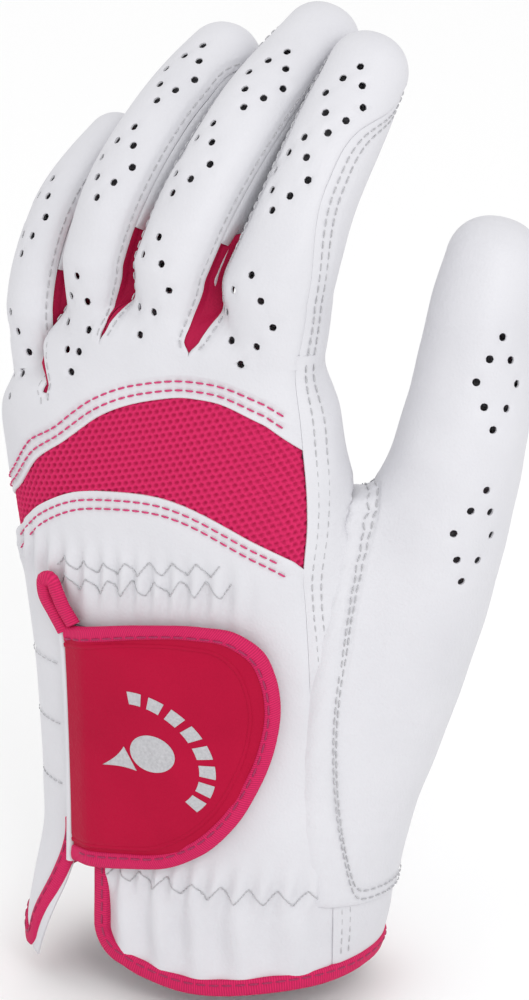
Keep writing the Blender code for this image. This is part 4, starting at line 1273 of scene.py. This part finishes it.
TAPE_PROFILE = ((3.1, 0.35), (2.7, 0.62), (1.4, 0.78), (0.1, 0.66), (-0.55, 0.2), (-0.7, -0.45), (-0.5, -1.1),
                (0.1, -1.5), (1.4, -1.62), (2.7, -1.5), (3.1, -1.2))


def tape_stitches(centre, side, normal, height):
    line = centre + side * 2.1 + normal * height
    return row_of_stitches(line, normal, pitch=2.9, radius=0.22, share=0.8)


def hem_tape():
    """The tape that binds the wrist: up the slit's right leg, round the hem and up the free flap's edge."""
    leg = np.stack([np.full(14, SLIT_RIGHT), np.linspace(18.0, hem(SLIT_RIGHT) + CORNER_ROUND, 14)])
    turn = np.radians(np.linspace(4, 86, 12))
    corner = np.stack([SLIT_RIGHT + CORNER_ROUND * (1 - np.cos(turn)) / UNIT_MM,
                       hem(SLIT_RIGHT + 0.2) + CORNER_ROUND * (1 - np.sin(turn))])
    round_hem = np.linspace(SLIT_RIGHT + CORNER_ROUND / UNIT_MM + 0.03, PERIMETER + 0.8, 230)
    rim = np.stack([round_hem, hem(round_hem)])
    rise = np.linspace(hem(0.88) + 1.5, 26.0, 40)
    flap = np.stack([PERIMETER + seam(FLAP_EDGE, rise), rise])
    path = np.concatenate([leg, corner, rim, flap], axis=1).T
    u, z = smooth_path(path[::3], 0.8)
    points, normals = palm_at(u, z)
    lifted = points + normals * np.where(u > 6, flare(u, z), 0.0)[:, None]
    side = across_path(lifted, normals)
    above = PALM.at(np.array(3.0), np.array(0.3))[0]
    probe = len(u) // 6
    if side[probe] @ (above - lifted[probe]) < 0:
        side = -side
    stitches = tape_stitches(lifted, side, normals, 0.72)
    obj = sweep("hem_tape", lifted, side, normals, TAPE_PROFILE, [TAPE, DARK_THREAD], stitches)
    finish_piece(obj, ["cuff_binding", "slit_binding"], body="palm")


LOOP_PATH = ((1.27, 69.5), (1.19, 73.5), (1.12, 78.0), (1.14, 80.9), (1.22, 81.4), (1.28, 79.0), (1.33, 75.5),
             (1.4, 72.0))
LOOP_PROFILE = ((1.75, 0.3), (0.9, 1.0), (-0.8, 1.05), (-1.65, 0.45), (-1.75, -0.5), (-0.8, -1.1),
                (0.9, -1.1), (1.75, -0.5))


def slit_loop():
    """The folded tape that stands up at the head of the slit, beside the tab."""
    u, z = smooth_path(LOOP_PATH, 0.7)
    points, normals = palm_at(u, z)
    lift = 1.6 + 1.6 * np.exp(-((z - 79) / 7.0) ** 2)
    points = points + normals * lift[:, None]
    obj = sweep("slit_loop_tape", points, across_path(points, normals), normals, LOOP_PROFILE, [TAPE])
    finish_piece(obj, [], body="palm")


# ---- the closing tab

TAB_TOP = ((1.3, 70.5), (1.7, 73.0), (2.12, 75.3), (2.65, 77.0), (2.91, 76.5), (3.07, 73.5), (3.16, 67.5),
           (3.19, 61.0))
TAB_BOTTOM = ((1.3, 17.5), (1.6, 18.5), (1.89, 19.9), (2.29, 22.3), (2.55, 26.4), (2.82, 33.7), (3.01, 42.5),
              (3.14, 51.9), (3.19, 61.0))
TAB_ROOT, TAB_MIDDLE, TAB_HALF_HEIGHT = 1.3, 47.0, 29.0
TAB_END = TAB_TOP[-1][0]
TAB_LIFT = 3.3
TAB_TAPE_WIDTH = 3.0
TAB_TAPE_PROFILE = ((TAB_TAPE_WIDTH, 0.1), (2.6, 0.42), (1.3, 0.62), (0.2, 0.5), (-0.5, 0.05), (-0.65, -0.6),
                    (-0.4, -1.15), (0.2, -1.45), (1.3, -1.5), (TAB_TAPE_WIDTH, -1.35))
WELT_INSET = 4.4
WELT_PROFILE = ((0.55, 0.0), (0.35, 0.3), (-0.35, 0.3), (-0.55, 0.0), (-0.35, -0.2), (0.35, -0.2))
PIPING_RISE = 1.5
BADGE_MIDDLE = (2.22, 48.0)


def tab_outline(inset, count=200):
    """Perimeter coordinates and heights along the tab's top, round end and bottom, scaled in by inset."""
    path = np.concatenate([np.array(TAB_TOP), np.array(TAB_BOTTOM)[::-1][1:]])
    run = np.append(0, np.cumsum(np.linalg.norm(np.diff(path * (UNIT_MM, 1.0), axis=0), axis=1)))
    path = curve(run, path, np.linspace(0.0, run[-1], count))
    u = TAB_ROOT + (path[:, 0] - TAB_ROOT) * (1 - inset / (TAB_END - TAB_ROOT) / UNIT_MM)
    return u, TAB_MIDDLE + (path[:, 1] - TAB_MIDDLE) * (1 - inset / TAB_HALF_HEIGHT)


def tab_height(u, z):
    """Lift of the tab's face: padded in the middle, with a flat rim inside the tape."""
    edge = np.minimum(np.abs(z - 16.0 - 3.0 * (u - TAB_ROOT)), np.abs(z - 76.0))
    reach = np.minimum(edge, (TAB_END - u) * UNIT_MM)
    return TAB_LIFT + 0.7 * smoothstep((reach - 4.5) / 3.0) - 1.3 * smoothstep((1.55 - u) / 0.25)


def on_tab(u, z, rise=0.0):
    """Points on the tab's face, raised by rise, and their normals."""
    points, normals = palm_at(u, z)
    return points + normals * (tab_height(u, z) + rise)[..., None], normals


def on_tab_grid(u, z, rise=0.0):
    grid = on_palm(u, z)
    grid.points, _ = on_tab(u, z, rise)
    return grid


def tab_face():
    u_edge, z_edge = tab_outline(0.8, 161)
    half = len(u_edge) // 2 + 1
    r = np.linspace(0.0, 1.0, 71)[None]
    u = u_edge[:half, None] * r + u_edge[::-1][:half, None] * (1 - r)
    z = z_edge[:half, None] * r + z_edge[::-1][:half, None] * (1 - r)
    face = sheet("tab_face", [on_tab_grid(u, z)], [PINK], thickness=1.2, drop=(0.2, 0.05))
    finish_piece(face, ["tab_panel"], body="tab")


def tab_tape():
    points, normals = on_tab(*tab_outline(0.0), 0.1)
    inner = palm_at(*tab_outline(TAB_TAPE_WIDTH))[0]
    aim = inner + normals * TAB_LIFT - points
    side = unit(aim - (aim * normals).sum(-1, keepdims=True) * normals)
    stitches = tape_stitches(points, side, normals, 0.55)
    tape = sweep("tab_tape", points, side, normals, TAB_TAPE_PROFILE, [TAPE, DARK_THREAD], stitches)
    finish_piece(tape, ["tab_binding"], body="tab")


def tab_welt():
    points, normals = on_tab(*tab_outline(WELT_INSET), -0.15)
    cord = sweep("tab_rim_welt", points, across_path(points, normals), normals, WELT_PROFILE, [PINK])
    finish_piece(cord, body="tab")


def slit_piping():
    """The white corded edge down the slit, beside the tab's root."""
    z = np.linspace(71.5, 16.5, 90)
    u = TAB_ROOT - 0.055 + 0.02 * np.sin((z - 17) / 54 * np.pi)
    points, normals = palm_at(u, z)
    points = points + normals * PIPING_RISE
    ring = np.radians(np.arange(0, 360, 36))
    profile = np.stack([np.cos(ring), np.sin(ring)], axis=1)
    piping = sweep("slit_piping", points, across_path(points, normals), normals, profile, [WHITE])
    finish_piece(piping, [], body="palm")


BALL_RINGS = (0.05, 2.0, 4.1)
BLOCK_COUNT = 8
BLOCK_ARC = (13.0, 11.0)     # half width and half height of the blocks' curve
BADGE_TURN = -64.0


def badge_shape(dx, dz):
    """A thin raised print, from its grids of offsets in millimetres."""
    turn = np.radians(BADGE_TURN)
    u = BADGE_MIDDLE[0] + (dx * np.cos(turn) - dz * np.sin(turn)) / UNIT_MM
    z = BADGE_MIDDLE[1] + dx * np.sin(turn) + dz * np.cos(turn)
    return on_tab_grid(u, z, 0.16)


def badge():
    """A plain golf ball on its tee under a curved row of blocks, in raised silver print."""
    angle = np.radians(np.linspace(0, 360, 49))[:, None]
    radius = np.array([BALL_RINGS])
    ball = badge_shape(radius * np.cos(angle), radius * np.sin(angle) - 1.0)
    ball.points[-1], ball.normals[-1] = ball.points[0], ball.normals[0]
    x = np.linspace(-1.0, 1.0, 5)[:, None]
    fall = np.linspace(0.0, 1.0, 12)[None]
    half = 2.3 * (1 - fall) ** 2.2 + 0.45 * (1 - fall ** 4)
    tee = badge_shape(x * half, -5.6 - 6.4 * fall + 0 * x)
    blocks = []
    wide = np.linspace(-1.4, 1.4, 4)[None]
    for middle in np.linspace(24, 156, BLOCK_COUNT):
        turn = np.radians(middle + np.linspace(-6.2, 6.2, 6))[:, None]
        across, up = (half_axis + wide for half_axis in BLOCK_ARC)
        blocks.append(badge_shape(across * np.cos(turn), up * np.sin(turn) - 3.0))
    obj = sheet("tab_badge", [ball, tee, *blocks], [SILVER], thickness=0.3, drop=(0.08, 0.0))
    finish_piece(obj, ["tab_emblem"], body="tab")


# ---- the palm side and the digits

def palm_leather():
    """The palm side, round to both seams of the back, left open under the thumb's leather."""
    x, r = unit_rows(132, 176)
    t = 0.02 + (FRONT_JOIN - 0.02) * r + 0 * x
    for _ in range(3):
        start = seam(RADIAL_SEAM, level_height(np.full_like(t, 3.5), t)) + 0.002
        u = start + (PERIMETER + ULNAR_SEAM - 0.002 - start) * x
        low = level(u, hem(u))
        t = low + (FRONT_JOIN - low) * r
    grid = on(PALM, u, t, joined="end")
    grid.points = grid.points + grid.normals * np.where(u > 6, flare(u, t * 140.0), 0.0)[..., None]
    p = grid.points
    flat = p.reshape(-1, 3)
    thumb_away = THUMB.distance(flat)
    over = ((thumb_away < palm_distance(flat) - 5.0) & (flat[:, 2] > 30)).reshape(u.shape)
    longest = np.where(thumb_away.reshape(u.shape)[1:, 1:] < NEAR_THUMB, *LONGEST_CELL)
    long_cells = ((np.linalg.norm(p[1:, 1:] - p[:-1, :-1], axis=-1) > longest)
                  | (np.linalg.norm(p[1:, :-1] - p[:-1, 1:], axis=-1) > longest))
    grid.keep = ~(over[:-1, :-1] | over[1:, 1:] | over[1:, :-1] | over[:-1, 1:] | long_cells)
    obj = sheet("palm_leather", [grid], [WHITE], relief=soft_folds)
    finish_piece(obj, ["palm_panel"], body="palm")
    z = np.linspace(0.0, 136.0, 400)
    rows = []
    for distance in RADIAL_ROWS:
        u = seam(RADIAL_SEAM, z) + distance / UNIT_MM
        rows += sewn(PALM, u, level(np.full_like(z, 3.6), z), radius=0.16)
    loose_stitches("radial_seam_stitching", rows)


def finger_profile(k, stops, values, b):
    """An angle against distance b past the fork.

    A stop is a palm level ("t"), a share of the finger's length ("L") or of its tip's radius past that ("R").
    """
    def reach(kind, v):
        if kind == "t":
            return (v - 1) * BASES[k, 2]
        return v * LENGTHS[k] if kind == "L" else LENGTHS[k] + v * tip_radius(k)

    return curve([reach(kind, v) for kind, v in stops], values, b)


INNER_EDGE = (           # half the angle that a back leather covers, between two fingers
    (("t", 0.9), ("t", 0.93), ("t", 0.96), ("t", 1.0), ("L", 0.15), ("L", 0.3), ("L", 0.5), ("L", 0.75),
     ("L", 0.95), ("R", 0.35), ("R", 0.8), ("R", 1.05)),
    (84, 73, 67, 66, 66, 66, 66, 68, 76, 104, 140, 178),
)
ULNAR_EDGE = (           # the little finger's back leather, on the hand's own side
    (("t", 0.9), ("t", 1.0), ("L", 0.5), ("L", 0.95), ("R", 0.4), ("R", 1.05)),
    (-65, -75, -80, -95, -120, -178),
)
RADIAL_EDGE = (          # and the index finger's
    (("t", 0.9), ("t", 1.0), ("L", 0.45), ("L", 0.7), ("L", 0.9), ("R", 0.3), ("R", 1.05)),
    (50, 52, 29, 40, 90, 120, 178),
)
FRONT_EDGE = ((("L", 0.0), ("L", 0.5), ("L", 0.9), ("R", 0.5), ("R", 1.05)), (100, 104, 106, 130, 179))
EDGE_EASE = 6.0
FINGER_STEP, TIP_STEP = 0.72, 0.055     # millimetres along a finger, and radians over its tip


def back_edges(k, b):
    """First and last angle of a finger's back leather at distance b past the fork."""
    t = 1 + b / BASES[k, 2]
    first_root, last_root = column_edges(k, np.full_like(b, JOIN))
    inner = finger_profile(k, *INNER_EDGE, b)
    ease = smoothstep((t - JOIN) / 0.02)
    first = first_root * (1 - ease) - inner * ease
    last = last_root * (1 - ease) + inner * ease
    if k == 0:
        first = finger_profile(k, *ULNAR_EDGE, b)
    if k == 3:
        last = finger_profile(k, *RADIAL_EDGE, b)
    return first, last


def front_edge(k, b):
    """Angle where a finger's front leather meets a side wall, from the finger's side at the fork."""
    ease = smoothstep((b - GUSSET_TOP) / EDGE_EASE)
    return 90 * (1 - ease) + finger_profile(k, *FRONT_EDGE, b) * ease


def over_tip(radius):
    """Distances over a tip of this radius, up to its middle."""
    return spaced(0.0, np.pi / 2, TIP_STEP)[1:] * radius


def finger_rows(k, start):
    """Distances past the fork from a palm level up to the middle of the tip."""
    low = spaced((start - 1) * BASES[k, 2], LENGTHS[k], FINGER_STEP)
    return np.append(low, LENGTHS[k] + over_tip(tip_radius(k)))


def finger_back(k):
    name = DIGIT_NAMES[k]
    b = finger_rows(k, JOIN)
    angle = spread(*back_edges(k, b), 44)
    grid = on(BACKS[k], angle, b[None] + 0 * angle, joined="start")
    straight = b[(b > (JOIN - 1) * BASES[k, 2] + 1) & (b < LENGTHS[k] + 0.3 * tip_radius(k))]
    first, last = back_edges(k, straight)
    inset = STITCH_INSET / DEGREE_MM
    rows = []
    if k < 3:
        rows += sewn(BACKS[k], last - inset, straight, radius=0.14)
    if k > 0:
        rows += sewn(BACKS[k], first + inset, straight, radius=0.14)
    obj = sheet(f"{name}_back_leather", [grid], [WHITE, WHITE_THREAD_PAINTED_SHADE], stitches=rows, holes=cluster_points(k),
                relief=soft_folds)
    finish_piece(obj, [f"{name}_back"])
    blend_finger(obj, k)


def finger_front(k):
    name = DIGIT_NAMES[k]
    b = finger_rows(k, FRONT_JOIN)
    back_first, back_last = back_edges(k, b)
    first = front_edge(k, b)
    last = 360 - first
    if k == 3:
        first = back_last + 0.2
    if k == 0:
        last = 360 + back_first - 0.2
    angle = spread(first, np.maximum(last, first), 40)
    grid = on(FRONTS[k], angle, b[None] + 0 * angle, joined="start")
    rows = []
    if k == 3:
        sewn_part = b < LENGTHS[k] + 0.3 * tip_radius(k)
        for distance in RADIAL_ROWS:
            beside = first + distance / DEGREE_MM
            rows += sewn(FRONTS[k], beside[sewn_part], b[sewn_part], radius=0.15)
    obj = sheet(f"{name}_front_leather", [grid], [WHITE, WHITE_THREAD_PAINTED_SHADE], relief=soft_folds, stitches=rows)
    finish_piece(obj, [f"{name}_front"])
    blend_finger(obj, k)


def finger_wall(k, other):
    """The narrow strip between a finger's back and front, on the side facing another finger."""
    name, facing = DIGIT_NAMES[k], DIGIT_NAMES[other]
    sign = other - k
    b = spaced(GUSSET_TOP, LENGTHS[k] + 0.9 * tip_radius(k), FINGER_STEP)
    first, last = back_edges(k, b)
    low = np.abs(last if sign > 0 else first) + 1.0
    angle = spread(low, np.maximum(front_edge(k, b), low + 2), 12) * sign
    obj = sheet(f"{name}_side_toward_{facing}", [on(BACKS[k], angle, b[None] + 0 * angle)], [WALL], lift=-0.1)
    finish_piece(obj, [f"{name}_wall_to_{facing}"])
    blend_finger(obj, k)


BRIDGE_COLUMNS = (-4, -1)    # where a gusset's two sides are joined, as columns of their grids
UNDER_BACK = 8.0             # degrees that the gusset runs on under the back leather


def gusset(edge):
    """The knit under the slot between two fingers' roots, seen through the slot."""
    grids = []
    for k, sign in ((edge - 1, 1), (edge, -1)):
        past_fork = np.arange(1.5, GUSSET_TOP + 2.0, 1.5) / BASES[k, 2]
        t = np.append(np.linspace(SLOT_EDGES[edge][0] - 0.01, 1.0, 30), 1.0 + past_fork)
        b = (t - 1) * BASES[k, 2]
        inset = 90 - finger_profile(k, *INNER_EDGE, b) + UNDER_BACK + slot_angle(edge, t) * (t < JOIN)
        angle = spread(sign * (90 - inset), sign * np.full_like(t, 90.0), 14)
        grids.append(on(BACKS[k], angle, b + 0 * angle))
    left, right = grids
    whole = np.linalg.norm(left.points[-1] - right.points[-1], axis=-1) < 0.4
    middle = (left.points[-1] + right.points[-1]) / 2
    for grid in (left, right):
        grid.points[-1, whole] = middle[whole]
    x = np.linspace(0.0, 1.0, 5)[:, None, None]
    for column in BRIDGE_COLUMNS:
        points = left.points[column] * (1 - x) + right.points[column] * x
        normals = left.normals[column] * (1 - x) + right.normals[column] * x - (0.0, 0.5, 0.0)
        grids.append(Grid(points, unit(normals)))
    low_name, high_name = DIGIT_NAMES[edge - 1], DIGIT_NAMES[edge]
    obj = sheet(f"{low_name}_{high_name}_gusset", grids, [GUSSET], lift=-0.95, thickness=0.6, drop=(0.0, 0.0),
                shade=lambda p: np.ones(len(p)))
    finish_piece(obj, [f"gusset_{low_name}_{high_name}"],
                 body="palm")


def thumb_start(psi, margin):
    """Where, at each angle, the thumb's form stops being more than margin further away than the palm's."""
    s = np.linspace(THUMB_ROOT, THUMB_LENGTH, 220)
    a, b = np.meshgrid(psi, s, indexing="ij")
    points = THUMB_SKIN.at(a, b)[0].reshape(-1, 3)
    over = (THUMB.distance(points) - palm_distance(points)).reshape(a.shape) - margin
    start = []
    for row in over:
        beyond = np.nonzero(row > 0)[0]
        i = beyond[-1] if len(beyond) else 0
        share = row[i] / (row[i] - row[i + 1]) if len(beyond) else 0.0
        start.append(s[i] + (s[i + 1] - s[i]) * share)
    start = np.array(start)
    for _ in range(6):
        start[:-1] = (np.roll(start[:-1], 1) + 2 * start[:-1] + np.roll(start[:-1], -1)) / 4
    start[-1] = start[0]
    return start


def thumb_leather():
    psi = np.linspace(0.0, 360.0, 181)
    start = thumb_start(psi, THUMB_SEAM)
    r = np.linspace(0.0, 1.0, 230)[None]
    s = start[:, None] + (THUMB_LENGTH - start[:, None]) * r
    top = THUMB_LENGTH + over_tip(THUMB_POINTS[-1][3])
    s = np.concatenate([s, np.repeat(top[None], len(psi), axis=0)], axis=1)
    grid = on(THUMB_SKIN, psi[:, None] + 0 * s, s)
    grid.points[-1], grid.normals[-1] = grid.points[0], grid.normals[0]
    grid.points[:, -1] = grid.points[:, -1].mean(0)
    holes = []
    for centre_psi, centre_s in THUMB_CLUSTERS:
        radius = float(np.interp(centre_s, THUMB.length, THUMB.half_side))
        for dx, dz in CLUSTER:
            a = np.array(centre_psi + np.degrees(dx * 0.9 / radius))
            holes.append(THUMB_SKIN.at(a, np.array(centre_s + dz * 1.05))[0])
    line = np.linspace(0, 360, 720)
    edge = np.interp(line, psi, thumb_start(psi, THUMB_STITCHES))
    rows = []
    for distance in (1.2, 2.9):
        rows += sewn(THUMB_SKIN, line, edge + distance, radius=0.15)
    up = np.linspace(float(np.interp(268, psi, start)) + 4, THUMB_LENGTH - 6, 300)
    radius = np.interp(up, THUMB.length, THUMB.half_side)
    for side in (-1.6, 1.6):
        rows += sewn(THUMB_SKIN, -90 + np.degrees(side / radius), up, radius=0.13)
    obj = sheet("thumb_leather", [grid], [WHITE, WHITE_THREAD_PAINTED_SHADE], lift=THUMB_LIFT, stitches=rows, holes=holes,
                relief=soft_folds)
    nodes = ["thumb_base", "thumb_panel", "thumb_seam_strip"]
    finish_piece(obj, nodes)
    blend_thumb(obj)


INNER_PARTS = {
    "upper_elastic": ELASTIC, "lower_elastic": ELASTIC, "hook_patch": HOOKS, "loop_patch": LOOPS,
}


def inner_parts():
    """Parts that stay as the CAD made them, with their woven or moulded finish."""
    for node, material in INNER_PARTS.items():
        for slot in bpy.data.objects[node].material_slots:
            slot.material = material


upper_back()
knuckle_mesh()
lower_back()
cuff()
ulnar()
hem_tape()
slit_loop()
tab_face()
tab_tape()
tab_welt()
slit_piping()
badge()
palm_leather()
for digit in range(4):
    finger_back(digit)
    finger_front(digit)
    for neighbour in (digit - 1, digit + 1):
        if 0 <= neighbour < 4:
            finger_wall(digit, neighbour)
for slot_edge in SLOT_EDGES:
    gusset(slot_edge)
thumb_leather()
inner_parts()

# ---- floor, lights and camera

FLOOR_HALF_WIDTH = 3.0
FLOOR_GAP = 0.003        # from the glove's lowest point down to the floor
WORLD_LIGHT = 1.02
LIGHTS = (               # name, place, size, power
    ("key", (0.75, -0.8, 0.75), 0.5, 4.2),
    ("fill", (-0.3, -0.9, 0.9), 0.6, 0.1),
)
CAMERA_TURN, CAMERA_RISE, CAMERA_REACH = 28.0, 20.0, 1.2
CAMERA_AIM = (0.0, 0.0, 0.1)
LENS = 203.9
SHIFT = (0.0575, -0.022)


def stage():
    corners = np.array(((-1, -1, 0), (1, -1, 0), (1, 1, 0), (-1, 1, 0))) * FLOOR_HALF_WIDTH
    height = cad_box[0][2] - FLOOR_GAP
    floor = link("floor", (corners + (0, 0, height)) / MM, [[0, 1, 2, 3]])
    material, _, shader = nodes_of("pale floor")
    set_inputs(shader, Base_Color=(0.93, 0.93, 0.93, 1.0), Roughness=0.9)
    floor.data.materials.append(material)
    world = bpy.data.worlds.new("studio")
    bpy.context.scene.world = world
    world.use_nodes = True
    set_inputs(world.node_tree.nodes["Background"], Color=(1.0, 1.0, 1.0, 1.0), Strength=WORLD_LIGHT)


def area_light(name, place, size, power):
    data = bpy.data.lights.new(name, "AREA")
    data.size = size
    data.energy = power
    light = bpy.data.objects.new(name, data)
    light.location = place
    aim = np.subtract(CAMERA_AIM, place)
    light.rotation_mode = "QUATERNION"
    light.rotation_quaternion = Vector(aim).to_track_quat("-Z", "Y")
    bpy.context.scene.collection.objects.link(light)


def camera():
    turn, rise = np.radians(CAMERA_TURN), np.radians(CAMERA_RISE)
    away = np.array([np.sin(turn) * np.cos(rise), -np.cos(turn) * np.cos(rise), np.sin(rise)])
    data = bpy.data.cameras.new("camera")
    data.lens = LENS
    data.shift_x, data.shift_y = SHIFT
    view = bpy.data.objects.new("camera", data)
    view.location = np.array(CAMERA_AIM) + away * CAMERA_REACH
    view.rotation_mode = "QUATERNION"
    view.rotation_quaternion = Vector(-away).to_track_quat("-Z", "Y")
    bpy.context.scene.collection.objects.link(view)
    bpy.context.scene.camera = view


stage()
for lamp in LIGHTS:
    area_light(*lamp)
camera()
bpy.context.scene.view_settings.view_transform = "Standard"
